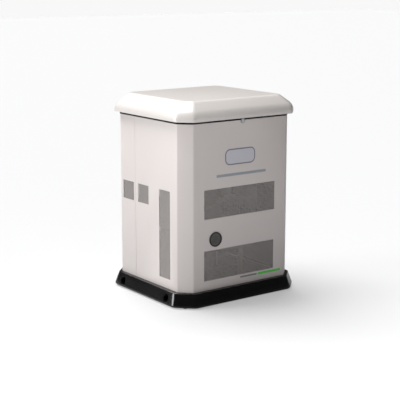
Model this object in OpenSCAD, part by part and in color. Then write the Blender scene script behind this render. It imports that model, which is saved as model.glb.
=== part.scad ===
// Home standby generator: a vertical-shaft V-twin engine above its alternator, in a sheet-metal
// enclosure on a moulded base. Millimetres, +Z up, the front faces -Y, and the origin is on the
// ground under the middle of the base.

/* [Base] */
// How far the base stands out from the sheets at the sides
base_out_x = 37.5; // [32:0.5:60]
// How far the base stands out from the sheets at the front and rear
base_out_y = 39.5; // [32:0.5:60]
// Height of the base, feet included
base_h = 72; // [62:1:90]
// How far the base's sides lean in on each side
base_lean = 15; // [5:1:22]
// Corner chamfer of the base at its top
base_chamfer = 72; // [40:1:90]
// Height of the four feet
foot_h = 5; // [3:1:8]
// Side length of each square foot
foot_size = 90; // [60:1:120]
// Diameter of the tunnels for the lifting pipes
lift_bore = 38; // [34:0.5:44]
// Distance between the two lifting tunnels
lift_spacing = 380; // [300:1:460]

/* [Enclosure] */
// Width of the enclosure
body_w = 671; // [650:1:810]
// Depth of the enclosure
body_d = 601; // [590:1:725]
// Height of the enclosure's sheets up to the roof's lip
body_h = 820; // [740:1:990]
// Corner chamfer of the enclosure
body_chamfer = 56; // [30:1:70]
// Thickness of the steel sheet
sheet = 1.5; // [1:0.1:2.5]
// Place of the side seams behind the middle
seam_y = 112; // [60:1:150]
// Gap between the front and rear sheets at the seams
seam_gap = 1.5; // [0.8:0.1:3]
// Width of the folded edges
flange = 14; // [10:1:18]

/* [Roof] */
// How far the lip stands out from the sheets at the sides
lip_out_x = 21; // [14:1:30]
// How far the lip stands out from the sheets at the front and rear
lip_out_y = 29; // [24:1:38]
// Height of the roof's upright lip
lip_h = 36; // [26:1:50]
// Height of the roof's sloping edge
slope_h = 54; // [35:1:70]
// Width of the sloping edge at the sides
slope_run_x = 72; // [50:1:90]
// Width of the sloping edge at the front and rear
slope_run_y = 62; // [45:1:80]
// Corner chamfer of the roof's lip
roof_chamfer = 62; // [40:1:80]
// Corner chamfer of the roof's flat top
roof_top_chamfer = 28; // [15:1:50]
// Thickness of the roof's shell
roof_wall = 2; // [1.5:0.1:3]
// Opening angle of the roof
roof_open = 60; // [45:1:60]

/* [Air screens] */
// Distance between neighbouring holes of a screen
screen_pitch = 24; // [16:1:30]
// Width of the metal between two holes
screen_bar = 6; // [3:0.5:9]
// How far a screen overlaps its window all round
screen_lap = 8; // [4:1:12]
// Thickness of the screens
screen_t = 1.2; // [0.8:0.1:2]
// How far the sound baffles stand behind the side screens
baffle_gap = 12; // [8:1:14]

/* [Engine and alternator] */
// Place of the shaft to the right of the middle
shaft_x = 20; // [0:1:30]
// Place of the shaft behind the middle
shaft_y = 50; // [40:1:60]
// Outer diameter of the stator
stator_d = 250; // [220:1:256]
// Height of the stator's core
stator_h = 130; // [105:1:145]
// Air gap between rotor and stator
air_gap = 2; // [1:0.1:4]
// Diameter of the crankshaft's journals
journal_d = 40; // [34:1:44]
// Bore of the cylinders
cyl_bore = 84; // [70:1:90]
// Outer diameter of the cooling fins
fin_d = 136; // [116:1:140]
// Number of cooling fins on each cylinder
fin_count = 8; // [5:1:10]
// Diameter of the flywheel
flywheel_d = 240; // [200:1:250]
// Number of blades on the cooling fan
blade_count = 12; // [8:1:18]
// Diameter of the muffler
muffler_d = 110; // [90:1:116]
// Length of the muffler
muffler_len = 300; // [250:1:340]

/* [Exhaust outlet] */
// Diameter of the outlet's flange
outlet_d = 72; // [60:1:86]
// Place of the outlet to the left of the middle
outlet_left = 152; // [130:1:170]
// Height of the outlet above the ground
outlet_z = 318; // [300:1:330]

/* [Controls] */
// Width of the control box
box_w = 140; // [120:1:150]
// Depth of the control box
box_d = 250; // [220:1:270]
// Height of the control box
box_h = 150; // [120:1:170]
// Travel of the exercise button
button_travel = 3; // [1.5:0.5:3]
// Travel of the dipstick as it is pulled
dipstick_travel = 120; // [80:5:150]

/* [Hidden] */
$fn = 48;

// Clearances
run_fit = 0.05;      // radial, shaft in bearing
slide_fit = 0.3;     // between pieces that pass each other
hole_fit = 0.4;      // radial, screw in its hole
rest_gap = 0.3;      // between the closed roof and what it closes on

// Heights and half sizes that many pieces share
body_top = base_h + body_h;
rim = 8;                            // the sheets run on this far up inside the lip
rim_top = body_top + rim;
hx = body_w / 2;
hy = body_d / 2;
in_x = hx - sheet;
in_y = hy - sheet;
seal_h = 6;
frame_z = rim_top + seal_h + rest_gap;
roof_top = body_top + lip_h + slope_h;
lip_x = hx + lip_out_x;
lip_y = hy + lip_out_y;
base_x = hx + base_out_x;
base_y = hy + base_out_y;

// Air windows: [lowest x or y, lowest z, width, height], heights above the ground
front_windows = [[-218, base_h + 348, 430, 142], [-218, base_h + 47, 428, 147]];
side_front_windows = [[-186, base_h + 47, 92, 433], [-4, base_h + 386, 94, 93]];
side_rear_windows = [[127, base_h + 386, 96, 93]];
rear_windows = [[-200, base_h + 348, 400, 142], [-200, base_h + 47, 400, 147]];

// Colours
beige = [0.78, 0.75, 0.72];
black = [0.08, 0.08, 0.09];
steel = [0.62, 0.64, 0.66];
cast = [0.55, 0.56, 0.57];
rubber = [0.13, 0.13, 0.13];
copper = [0.72, 0.42, 0.22];

// ---- Shared shapes ----

// Corner points of a rectangle with chamfered corners, as half sizes and chamfer
function octagon(x, y, c) = [[x, c - y], [x, y - c], [x - c, y], [c - x, y],
  [-x, y - c], [-x, c - y], [c - x, -y], [x - c, -y]];

// Solid through octagonal rings, each [z, half x, half y, chamfer]
module loft(rings) {
  count = len(rings);
  points = [for (r = rings) for (p = octagon(r[1], r[2], r[3])) [p[0], p[1], r[0]]];
  sides = [for (i = [0:count - 2]) for (j = [0:7]) let (k = (j + 1) % 8)
    [i * 8 + j, (i + 1) * 8 + j, (i + 1) * 8 + k, i * 8 + k]];
  lid = [for (j = [7:-1:0]) (count - 1) * 8 + j];
  polyhedron(points, concat([[for (j = [0:7]) j]], sides, [lid]));
}

// Points of a smooth curve through a list of points, some to each span
function spline(p, steps = 4) = let (n = len(p)) concat([for (i = [0:n - 2]) for (s = [0:steps - 1])
  let (a = p[max(i - 1, 0)], b = p[i], c = p[i + 1], d = p[min(i + 2, n - 1)], t = s / steps)
    (2 * b + t * (c - a) + t * t * (2 * a - 5 * b + 4 * c - d)
      + t * t * t * (3 * b - a - 3 * c + d)) / 2], [p[n - 1]]);

function unit(v) = v / norm(v);
function tangent(p, i) = unit(p[min(i + 1, len(p) - 1)] - p[max(i - 1, 0)]);
function side_of(t) = unit(cross(t, abs(t[2]) < 0.8 ? [0, 0, 1] : [1, 0, 0]));

// The side direction carried along a path without twist
function frames(p, i = 0, prev = undef) = i >= len(p) ? [] :
  let (t = tangent(p, i), s = prev == undef ? side_of(t) : unit(prev - (prev * t) * t))
    concat([[t, s]], frames(p, i + 1, s));

// Round tube along a path of points
module tube(p, r, sides = 10) {
  f = frames(p);
  points = [for (i = [0:len(p) - 1]) for (j = [0:sides - 1])
    let (a = 360 * j / sides, s = f[i][1], u = cross(f[i][0], s)) p[i] + r * (cos(a) * s + sin(a) * u)];
  walls = [for (i = [0:len(p) - 2]) for (j = [0:sides - 1]) let (k = (j + 1) % sides)
    [i * sides + j, (i + 1) * sides + j, (i + 1) * sides + k, i * sides + k]];
  last = (len(p) - 1) * sides;
  polyhedron(points, concat([[for (j = [0:sides - 1]) j]], walls, [[for (j = [sides - 1:-1:0]) last + j]]));
}

// Flat ring of a round section's outer and inner radius
module ring(r_out, r_in, h) {
  difference() {
    cylinder(r = r_out, h = h);
    translate([0, 0, -1]) cylinder(r = r_in, h = h + 2);
  }
}

// Box from its centre in X and Y and its lowest Z
module block(size, at = [0, 0, 0]) {
  translate(at + [-size[0] / 2, -size[1] / 2, 0]) cube(size);
}

// Turns a shape that points up so that it points forwards, to -Y
module to_front() { rotate([90, 0, 0]) children(); }

// ---- Base ----

lift_z = base_h / 2;

module base_tray() {
  w = base_x;
  d = base_y;
  c = base_chamfer;
  color(black) difference() {
    union() {
      loft([[foot_h, w - 6, d - 6, c + 6], [foot_h + 6, w, d, c + 8],
        [base_h - 3, w - base_lean, d - base_lean, c], [base_h, w - base_lean - 3, d - base_lean - 3, c]]);
      for (x = [-1, 1]) for (y = [-1, 1])
        block([foot_size, foot_size, foot_h + 1], [x * (w - c - 20), y * (d - c - 20), 0]);
    }
    for (y = [-1, 1]) translate([-2 * base_x, y * lift_spacing / 2, lift_z])
      rotate([0, 90, 0]) cylinder(d = lift_bore, h = 4 * base_x);
  }
}

// ---- Enclosure ----

screw_r = 3;
seam_screw_z = [base_h + 80, base_h + 330, base_h + 560, base_h + 760];
foot_screw_x = [-200, 0, 200];

// The whole enclosure as one hollow shell, before it is cut at the seams
module shell() {
  difference() {
    linear_extrude(rim_top - base_h) polygon(octagon(hx, hy, body_chamfer));
    translate([0, 0, sheet]) linear_extrude(rim_top - base_h - 2 * sheet)
      polygon(octagon(in_x, in_y, body_chamfer - sheet / 2));
    translate([0, 0, -1]) linear_extrude(rim_top)
      polygon(octagon(in_x - flange, in_y - flange, body_chamfer - flange / 2));
  }
}

// One side's folded edge along a seam, reaching in from the side sheet
module seam_fold(side, y) {
  translate([side > 0 ? in_x - flange : -in_x, y, base_h]) cube([flange, sheet, rim_top - base_h]);
}

module seam_holes() {
  for (side = [-1, 1]) for (z = seam_screw_z) translate([side * (in_x - flange / 2), seam_y, z])
    rotate([90, 0, 0]) cylinder(r = screw_r + hole_fit, h = 20, center = true);
}

module foot_holes(y_sign) {
  for (x = foot_screw_x) translate([x, y_sign * (in_y - flange / 2), base_h - 1])
    cylinder(r = screw_r + hole_fit, h = 6);
}

module window_x(w) { translate([w[0], -hy - 50, w[1]]) cube([w[2], 100, w[3]]); }

module window_y(w) { translate([-hx - 50, w[0], w[1]]) cube([body_w + 100, w[2], w[3]]); }

outlet_hole_r = outlet_d / 2 - 6;
lock_x = 9;
lock_z = body_top - 18;
lock_r = 9;

module front_panel() {
  color(beige) difference() {
    union() {
      intersection() {
        translate([0, 0, base_h]) shell();
        translate([-hx - 1, -hy - 1, 0]) cube([body_w + 2, hy + 1 + seam_y - seam_gap / 2, 1200]);
      }
      for (side = [-1, 1]) seam_fold(side, seam_y - seam_gap / 2 - sheet);
    }
    for (w = front_windows) window_x(w);
    for (w = side_front_windows) window_y(w);
    translate([-outlet_left, 0, outlet_z]) to_front() cylinder(r = outlet_hole_r, h = hy + 10);
    translate([lock_x, -hy + 10, lock_z]) to_front() cylinder(r = lock_r + hole_fit, h = 20);
    seam_holes();
    foot_holes(-1);
  }
}

inlet_x = hx - 90.5;
inlet_z = base_h + 150;
inlet_r = 14;
thread_r = 9.2;             // half-inch gas thread, tapping size
gland_x = inlet_x;
gland_z = base_h + 60;
gland_r = 21;

module rear_panel() {
  color(beige) difference() {
    union() {
      intersection() {
        translate([0, 0, base_h]) shell();
        translate([-hx - 1, seam_y + seam_gap / 2, 0]) cube([body_w + 2, body_d, 1200]);
      }
      for (side = [-1, 1]) seam_fold(side, seam_y + seam_gap / 2);
    }
    for (w = rear_windows) translate([0, body_d, 0]) window_x(w);
    for (w = side_rear_windows) window_y(w);
    translate([inlet_x, in_y + 20, inlet_z]) to_front() cylinder(r = inlet_r, h = 40);
    translate([gland_x, in_y + 20, gland_z]) to_front() cylinder(r = gland_r, h = 40);
    seam_holes();
    foot_holes(1);
  }
}

// ---- Air screens ----

// Perforated plate, w by h in X and Z, standing in the XZ plane with its face at y = 0
module screen(w, h) {
  bar = screen_bar;
  cols = floor((w - 2 * screen_lap - bar) / screen_pitch);
  rows = floor((h - 2 * screen_lap - bar) / screen_pitch);
  hole = screen_pitch - bar;
  x0 = (w - cols * screen_pitch + bar) / 2;
  z0 = (h - rows * screen_pitch + bar) / 2;
  translate([0, screen_t, 0]) to_front() linear_extrude(screen_t) difference() {
    square([w, h]);
    for (i = [0:cols - 1]) for (j = [0:rows - 1])
      translate([x0 + i * screen_pitch, z0 + j * screen_pitch]) square(hole);
  }
}

// A screen behind a window: [lowest x, lowest z, width, height] grown by the lap
module lapped(w) {
  translate([w[0] - screen_lap, 0, w[1] - screen_lap]) screen(w[2] + 2 * screen_lap, w[3] + 2 * screen_lap);
}

// A screen with a sound baffle behind it, welded on at its top and bottom and open at its sides
module baffled(w) {
  wide = w[2] + 2 * screen_lap;
  high = w[3] + 2 * screen_lap;
  lapped(w);
  translate([w[0] - screen_lap, 0, w[1] - screen_lap]) {
    translate([0, baffle_gap, 0]) cube([wide, screen_t, high]);
    for (z = [0, high - screen_t]) translate([0, 0, z]) cube([wide, baffle_gap + screen_t, screen_t]);
  }
}

module side_screen(side, w) {
  if (side < 0) translate([-in_x, 0, 0]) rotate([0, 0, 90]) mirror([0, 1, 0]) baffled(w);
  else translate([in_x, 0, 0]) rotate([0, 0, 90]) baffled(w);
}

module front_screens() {
  color(steel) {
    for (w = front_windows) translate([0, -in_y, 0]) lapped(w);
    for (side = [-1, 1]) for (w = side_front_windows) side_screen(side, w);
  }
}

module rear_screens() {
  color(steel) {
    for (w = rear_windows) translate([0, in_y - screen_t, 0]) lapped(w);
    for (side = [-1, 1]) for (w = side_rear_windows) side_screen(side, w);
  }
}

// ---- Roof ----

module roof_solid(inset) {
  lip_top = body_top + lip_h;
  low = inset > 0 ? -1 : 0;
  loft([[body_top + low, lip_x - inset, lip_y - inset, roof_chamfer - inset / 2],
    [lip_top - inset / 3, lip_x - inset, lip_y - inset, roof_chamfer - inset / 2],
    [roof_top - inset, lip_x - slope_run_x - inset / 2, lip_y - slope_run_y - inset / 2,
      roof_top_chamfer]]);
}

module roof_shell() {
  color([0.86, 0.84, 0.82]) difference() {
    roof_solid(0);
    roof_solid(roof_wall);
  }
}

liner_margin = 8;
liner_t = 24;

module roof_frame() {
  color(steel) {
    translate([0, 0, frame_z]) linear_extrude(2) difference() {
      polygon(octagon(lip_x - roof_wall, lip_y - roof_wall, roof_chamfer - roof_wall / 2));
      polygon(octagon(in_x - 2 * flange, in_y - 2 * flange, body_chamfer));
    }
    // bracket and pin that carry the stay
    translate([stay_x + stay_t + slide_fit, hinge_y - stay_back - 10, hinge_z - stay_drop - 10])
      cube([3, 20, frame_z + 2 - hinge_z + stay_drop + 10]);
    translate([stay_x - 20, hinge_y - stay_back - 10, frame_z]) cube([28, 20, 2]);
    stay_plane(stay_x - 1, stay_t + 3) translate(stay_pivot) circle(r = stay_pin_r);
    // hook that the lock's cam catches
    translate([hook_x, cam_y - 4, hook_z]) cube([3, 12, frame_z + 2 - hook_z]);
    translate([hook_x, cam_y - 4, hook_z]) cube([17, 12, 3]);
    translate([hook_x, cam_y - 20, frame_z]) cube([20, 40, 2]);
  }
}

module roof_liner() {
  color([0.25, 0.25, 0.26]) translate([0, 0, roof_top - roof_wall - liner_t]) linear_extrude(liner_t)
    polygon(octagon(lip_x - slope_run_x - liner_margin, lip_y - slope_run_y - liner_margin,
      roof_top_chamfer));
}

module roof_seal() {
  color(rubber) translate([0, 0, rim_top]) linear_extrude(seal_h) difference() {
    polygon(octagon(in_x, in_y, body_chamfer - sheet / 2));
    polygon(octagon(in_x - 10, in_y - 10, body_chamfer - sheet / 2 - 5));
  }
}

// ---- Roof hinges ----

hinge_y = hy + 15;
hinge_z = body_top + 6;
knuckle_r = 5;
pin_r = 2.5;
leaf_t = 2;
knuckle_w = 24;
knuckle_gap = 0.5;
hinge_x = [-210, 210];

// One knuckle along X with its bore, centred on x
module knuckle(x, w, bore) {
  translate([x - w / 2, hinge_y, hinge_z]) rotate([0, 90, 0]) ring(knuckle_r, bore, w);
}

module hinge_leaves_fixed() {
  reach = hinge_y - hy;
  color(steel) for (h = hinge_x) {
    block([3 * knuckle_w, leaf_t, hinge_z - knuckle_r - body_top + 40], [h, hy + leaf_t / 2, body_top - 40]);
    for (s = [-1, 1]) difference() {
      union() {
        knuckle(h + s * (knuckle_w + knuckle_gap), knuckle_w, pin_r);
        translate([h + s * (knuckle_w + knuckle_gap) - knuckle_w / 2, hy, hinge_z - knuckle_r])
          cube([knuckle_w, reach, leaf_t]);
      }
      translate([h - 60, hinge_y, hinge_z]) rotate([0, 90, 0]) cylinder(r = pin_r, h = 120);
    }
  }
}

module hinge_leaves_moving() {
  reach = lip_y - roof_wall - hinge_y;
  color(steel) for (h = hinge_x) difference() {
    union() {
      knuckle(h, knuckle_w, pin_r + run_fit);
      translate([h - knuckle_w / 2, hinge_y, hinge_z + knuckle_r - leaf_t]) cube([knuckle_w, reach, leaf_t]);
      block([2.6 * knuckle_w, leaf_t, frame_z - hinge_z - knuckle_r + leaf_t],
        [h, lip_y - roof_wall - leaf_t / 2, hinge_z + knuckle_r - leaf_t]);
    }
    translate([h - 60, hinge_y, hinge_z]) rotate([0, 90, 0]) cylinder(r = pin_r + run_fit, h = 120);
  }
}

module hinge_pins() {
  half = 1.5 * knuckle_w + knuckle_gap;
  color(steel) for (h = hinge_x) translate([h - half, hinge_y, hinge_z]) rotate([0, 90, 0]) {
    cylinder(r = pin_r, h = 2 * half);
    translate([0, 0, -2]) cylinder(r = pin_r + 1.5, h = 2);
  }
}

// ---- Roof stay: its foot pin follows a curved slot as the roof opens ----

stay_x = 35.5 - hx;
stay_back = 420;           // from the hinge axis forwards to the stay's pivot
stay_drop = 30;            // from the hinge axis down to the stay's pivot
stay_len = 355;
stay_ratio = 0.5;          // extra turn of the stay for each degree of the roof
stay_w = 12;
stay_t = 4;
stay_pin_r = 3;
stay_pivot = [-stay_back, -stay_drop];

// Place of the foot pin, in Y and Z from the hinge axis, with the roof open by an angle
function stay_foot(a) = let (turn = (1 + stay_ratio) * a)
  [stay_pivot[0] * cos(a) + stay_pivot[1] * sin(a) + stay_len * cos(turn),
   stay_pivot[1] * cos(a) - stay_pivot[0] * sin(a) - stay_len * sin(turn)];

// Puts a drawing in Y and Z from the hinge axis into the plane x = at
module stay_plane(at, t) {
  translate([at, hinge_y, hinge_z]) rotate([90, 0, 90]) linear_extrude(t) children();
}

module stay_arm() {
  foot = stay_foot(0);
  color(steel) difference() {
    union() {
      stay_plane(stay_x, stay_t) {
        translate(stay_pivot) circle(d = stay_w + 4);
        translate([stay_pivot[0], stay_pivot[1] - stay_w / 2]) square([stay_len, stay_w]);
        translate(foot) circle(d = stay_w + 4);
      }
      stay_plane(stay_x - 8, 9) translate(foot) circle(r = stay_pin_r);
    }
    stay_plane(stay_x - 1, stay_t + 2) translate(stay_pivot) circle(r = stay_pin_r + run_fit);
  }
}

track_steps = 16;
track_edge = 12;

module stay_track() {
  half = stay_pin_r + slide_fit;
  path = [for (i = [0:track_steps]) stay_foot(roof_open * i / track_steps)];
  way = [for (i = [0:track_steps]) let (t = path[min(i + 1, track_steps)] - path[max(i - 1, 0)])
    [-t[1], t[0]] / norm(t)];
  lowest = min([for (p = path) p[1]]);
  leg = 8;
  first_leg = path[track_steps][0] - track_edge;
  fold_front = seam_y - seam_gap / 2 - sheet - slide_fit - hinge_y;
  fold_back = seam_y + seam_gap / 2 + sheet + slide_fit - hinge_y;
  on_fold = first_leg + leg > fold_front && first_leg < fold_back;
  color(steel) {
    stay_plane(stay_x - 7, 3) difference() {
      union() {
        translate([path[track_steps][0] - track_edge, lowest - track_edge])
          square([path[0][0] - path[track_steps][0] + 2 * track_edge, -lowest]);
        translate([path[track_steps][0] - track_edge, -2 * track_edge])
          square([4 * track_edge, 2 * track_edge + 2]);
      }
      polygon(concat([for (i = [0:track_steps]) path[i] + half * way[i]],
        [for (i = [track_steps:-1:0]) path[i] - half * way[i]]));
      translate(path[0]) circle(r = half);
      translate(path[track_steps]) circle(r = half);
    }
    stay_plane(-in_x, in_x + stay_x - 7) for (y = [on_fold ? fold_back : first_leg, -95])
      translate([y, lowest - track_edge]) square([leg, leg]);
  }
}

// ---- Roof lock ----

lock_plug_r = 6;
cam_reach = 26;
cam_t = 3;
lock_len = 26;

module lock_housing() {
  color(steel) translate([lock_x, -hy, lock_z]) to_front() difference() {
    union() {
      translate([0, 0, -lock_len]) cylinder(r = lock_r, h = lock_len + 3);
      cylinder(r = lock_r + 3, h = 2.5);
    }
    translate([0, 0, -lock_len - 1]) cylinder(r = lock_plug_r + run_fit, h = lock_len + 10);
  }
}

module lock_cylinder() {
  color([0.8, 0.8, 0.8]) translate([lock_x, -hy, lock_z]) to_front() difference() {
    translate([0, 0, -lock_len - 2]) cylinder(r = lock_plug_r, h = lock_len + 5.5);
    translate([-1, -4, 0.5]) cube([2, 8, 10]);
  }
}

cam_y = -hy + lock_len + 2;
catch_gap = 3;
hook_x = lock_x - cam_reach - catch_gap - 3;
hook_z = lock_z - 6 - catch_gap - 3;

module lock_cam() {
  color(steel) translate([lock_x, cam_y + cam_t, lock_z]) to_front() {
    cylinder(r = lock_plug_r + 2, h = cam_t);
    translate([-6, 0, 0]) cube([12, cam_reach, cam_t]);
  }
}

// ---- Screws, fuel inlet and conduit gland ----

module screw(r, len, head_r, head_h) {
  translate([0, 0, -len]) cylinder(r = r, h = len);
  cylinder(r = head_r, h = head_h, $fn = 6);
}

module panel_screws() {
  color(steel) {
    for (side = [-1, 1]) for (z = seam_screw_z)
      translate([side * (in_x - flange / 2), seam_y - seam_gap / 2 - sheet, z]) rotate([90, 0, 0])
        screw(screw_r, 2 * sheet + seam_gap + 4, 5.5, 3);
    for (s = [-1, 1]) for (x = foot_screw_x)
      translate([x, s * (in_y - flange / 2), base_h + sheet]) screw(screw_r, sheet, 5.5, 3);
  }
}

module fuel_inlet() {
  color([0.75, 0.6, 0.3]) translate([inlet_x, hy, inlet_z]) rotate([-90, 0, 0]) difference() {
    union() {
      translate([0, 0, -30]) cylinder(r = inlet_r - hole_fit, h = 30 + 22);
      cylinder(r = inlet_r + 6, h = 4);
      translate([0, 0, 4]) cylinder(r = inlet_r + 4, h = 14, $fn = 6);
      translate([0, 0, -sheet - 5]) cylinder(r = inlet_r + 6, h = 5, $fn = 6);
    }
    translate([0, 0, -20]) cylinder(r = thread_r, h = 60);
  }
}

module conduit_gland() {
  color(black) translate([gland_x, hy, gland_z]) rotate([-90, 0, 0]) difference() {
    union() {
      translate([0, 0, -20]) cylinder(r = gland_r - hole_fit, h = 40);
      cylinder(r = gland_r + 5, h = 5);
      translate([0, 0, -sheet - 6]) cylinder(r = gland_r + 6, h = 6, $fn = 8);
    }
    translate([0, 0, -30]) cylinder(r = 16, h = 60);
  }
}

// ---- Mounting frame and isolators ----

mount_h = 30;
frame_w = 300;
frame_d = 340;
frame_t = 6;
frame_top = base_h + mount_h + frame_t;
iso_at = [for (x = [-120, 120]) for (y = [-140, 140]) [shaft_x + x, shaft_y + y]];
stator_r = stator_d / 2;
bolt_ring_r = stator_r + 9;
bolt_angles = [0, 90, 180, 270];

// Repeats a shape at each of the four stator bolts
module at_bolts() {
  for (a = bolt_angles) translate([shaft_x, shaft_y, 0]) rotate([0, 0, a]) translate([bolt_ring_r, 0, 0])
    children();
}

module on_shaft(z) { translate([shaft_x, shaft_y, z]) children(); }

module mounting_frame() {
  color(steel) difference() {
    translate([shaft_x, shaft_y, base_h + mount_h]) linear_extrude(frame_t)
      polygon(octagon(frame_w / 2, frame_d / 2, 40));
    on_shaft(base_h) cylinder(r = stator_r - 30, h = 100);
    for (p = iso_at) translate([p[0], p[1], base_h]) cylinder(r = 5 + hole_fit, h = 100);
    at_bolts() cylinder(r = 4 + hole_fit, h = 200);
  }
}

module isolators() {
  color(rubber) for (p = iso_at) translate([p[0], p[1], base_h]) {
    cylinder(d = 44, h = 3);
    translate([0, 0, 3]) cylinder(d = 36, h = mount_h - 6);
    translate([0, 0, mount_h - 3]) cylinder(d = 40, h = 3);
    cylinder(r = 5, h = mount_h + frame_t + 4);
    translate([0, 0, mount_h + frame_t]) cylinder(d = 17, h = 7, $fn = 6);
  }
}

// ---- Alternator ----

cup_wall = 9;
bracket_h = 52;
core_z = frame_top + bracket_h;
core_top = core_z + stator_h;
adapter_h = 68;
adapter_top = core_top + adapter_h;
bearing_r = 31;
bearing_bore = 15;
bearing_h = 16;
bearing_z = frame_top + 8;
rotor_shaft_r = 17.5;
rotor_r = stator_r - 53;

module bolt_ears(h) {
  at_bolts() difference() {
    union() {
      cylinder(r = 11, h = h);
      translate([-14, -11, 0]) cube([14, 22, h]);
    }
    translate([0, 0, -1]) cylinder(r = 4 + hole_fit, h = h + 2);
  }
}

module end_bracket() {
  color(cast) {
    translate([0, 0, frame_top]) difference() {
      union() {
        on_shaft(0) cylinder(r = stator_r, h = bracket_h);
        bolt_ears(12);
      }
      on_shaft(8) cylinder(r = stator_r - cup_wall, h = bracket_h);
      on_shaft(-1) cylinder(r = 26, h = 20);
      for (a = [45:90:315]) on_shaft(-1) rotate([0, 0, a]) translate([72, 0, 0]) cylinder(r = 22, h = 20);
      for (a = [45:90:315]) on_shaft(0) rotate([0, 0, a]) translate([stator_r - 20, -30, 18])
        cube([30, 60, bracket_h - 28]);
      at_bolts() translate([0, 0, -1]) cylinder(r = 4 + hole_fit, h = 14);
    }
    on_shaft(frame_top + 8) ring(bearing_r + 7, bearing_r, bearing_z + bearing_h - frame_top - 8);
  }
}

module rotor_bearing() {
  color([0.75, 0.76, 0.78]) on_shaft(bearing_z) {
    ring(bearing_r, bearing_r - 5, bearing_h);
    ring(bearing_bore + 5, bearing_bore + run_fit, bearing_h);
    for (a = [0:40:320]) rotate([0, 0, a])
      translate([(bearing_r + bearing_bore) / 2, 0, bearing_h / 2]) sphere(r = 4, $fn = 24);
    translate([0, 0, bearing_h / 2 - 1]) ring(bearing_r - 4, bearing_bore + 4, 2);
  }
}

module stator_core() {
  inner = rotor_r + air_gap;
  color([0.45, 0.46, 0.48]) on_shaft(core_z) difference() {
    cylinder(r = stator_r, h = stator_h);
    translate([0, 0, -1]) cylinder(r = inner, h = stator_h + 2);
    for (a = [0:15:345]) rotate([0, 0, a]) translate([inner - 4, -3, -1]) cube([28, 6, stator_h + 2]);
  }
}

module stator_windings() {
  r = rotor_r + air_gap + 14;
  color(copper) for (z = [core_z - 20, core_top]) on_shaft(z) rotate_extrude($fn = 64)
    translate([r - 10, 0]) square([24, 20]);
}

module rotor() {
  color([0.4, 0.4, 0.42]) {
    on_shaft(core_z) difference() {
      cylinder(r = rotor_r, h = stator_h);
      for (s = [-1, 1]) translate([s * rotor_r, 0, -1]) block([30, 46, stator_h + 2]);
    }
    on_shaft(bearing_z) cylinder(r = bearing_bore, h = core_z - bearing_z + 5);
    on_shaft(core_z - 25) cylinder(r = rotor_shaft_r + 5, h = 25);
    on_shaft(core_top) cylinder(r = rotor_shaft_r, h = adapter_h - 14);
  }
  // winding on the two poles, and the slip rings under the core
  color(copper) {
    for (s = [-1, 1]) on_shaft(core_z + 6) translate([s * (rotor_r - 12), 0, 0])
      block([10, 44, stator_h - 12]);
    for (z = [core_z - 24, core_z - 13]) on_shaft(z) ring(rotor_shaft_r + 8, rotor_shaft_r, 7);
  }
}

module stator_bolts() {
  color(steel) at_bolts() {
    translate([0, 0, base_h + mount_h]) cylinder(r = 4, h = core_top + 24 - base_h - mount_h);
    translate([0, 0, base_h + mount_h - 6]) cylinder(r = 7, h = 6, $fn = 6);
    translate([0, 0, core_top + 12]) cylinder(r = 7, h = 6, $fn = 6);
  }
}

module engine_adapter() {
  color(cast) translate([0, 0, core_top]) difference() {
    union() {
      on_shaft(0) cylinder(r = stator_r, h = adapter_h);
      bolt_ears(12);
    }
    on_shaft(-1) cylinder(r = stator_r - cup_wall, h = adapter_h - 8);
    on_shaft(0) cylinder(r = journal_d / 2 + 8, h = adapter_h + 1);
    for (a = [0:90:270]) on_shaft(0) rotate([0, 0, a + 45]) translate([stator_r - 20, -35, 16])
      cube([30, 70, adapter_h - 34]);
    at_bolts() translate([0, 0, -1]) cylinder(r = 4 + hole_fit, h = adapter_h);
  }
}

// ---- Engine block ----

case_r = 105;
case_wall = 14;
case_h = 190;
case_z = adapter_top;
case_top = case_z + case_h;
journal_r = journal_d / 2;
crank_throw = 33;
cyl_angles = [225, 315];            // the V opens forwards
cyl_z = [case_z + 78, case_z + 108];
barrel_start = case_r + 6;
barrel_len = 118;
head_len = 62;
head_start = barrel_start + barrel_len;
cover_start = head_start + head_len;
cover_len = 26;

// Turns a shape that points up so that it lies along one of the two cylinders
module along_cylinder(i, from) {
  translate([shaft_x, shaft_y, cyl_z[i]]) rotate([0, 90, cyl_angles[i]]) translate([0, 0, from]) children();
}

filter_z = case_z + 62;
filter_pad = 6;
stick_angle = 152;
stick_at = 162;
stick_tube_r = 9;
stick_bore = 5;
stick_x = shaft_x + stick_at * cos(stick_angle);
stick_y = shaft_y + stick_at * sin(stick_angle);
stick_z = case_z + 40;
stick_top = case_top + 90;

module crankcase() {
  color(cast) {
    difference() {
      union() {
        on_shaft(case_z) cylinder(r = case_r, h = case_h);
        on_shaft(case_z) cylinder(r = stator_r, h = 8);
        on_shaft(case_top) cylinder(r = journal_r + 16, h = 6);
        for (i = [0, 1]) along_cylinder(i, 0) intersection() {
          cylinder(r = fin_d / 2 - 6, h = barrel_start);
          translate([-200, -200, case_r - 45]) cube([400, 400, 100]);
        }
        on_shaft(filter_z) rotate([-90, 0, 0]) translate([0, 0, case_r - 20])
          cylinder(r = 27, h = 20 + filter_pad);
        // boss and tube of the dipstick
        on_shaft(stick_z) rotate([0, 90, stick_angle]) cylinder(r = 12, h = stick_at);
        translate([stick_x, stick_y, stick_z - 14]) cylinder(r = stick_tube_r, h = stick_top - stick_z + 14);
      }
      on_shaft(case_z + case_wall + 4) cylinder(r = case_r - case_wall, h = case_h - 2 * case_wall - 4);
      on_shaft(case_z - 1) cylinder(r = journal_r + run_fit, h = case_h + 20);
      for (i = [0, 1]) along_cylinder(i, 60) cylinder(d = cyl_bore, h = 100);
      translate([stick_x, stick_y, stick_z]) cylinder(r = stick_bore, h = 400);
    }
  }
}

fly_gap = 8;
fly_z = case_top + 6 + fly_gap;
fly_h = 28;
fan_h = 34;
web_t = 16;
web_r = 56;

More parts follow.
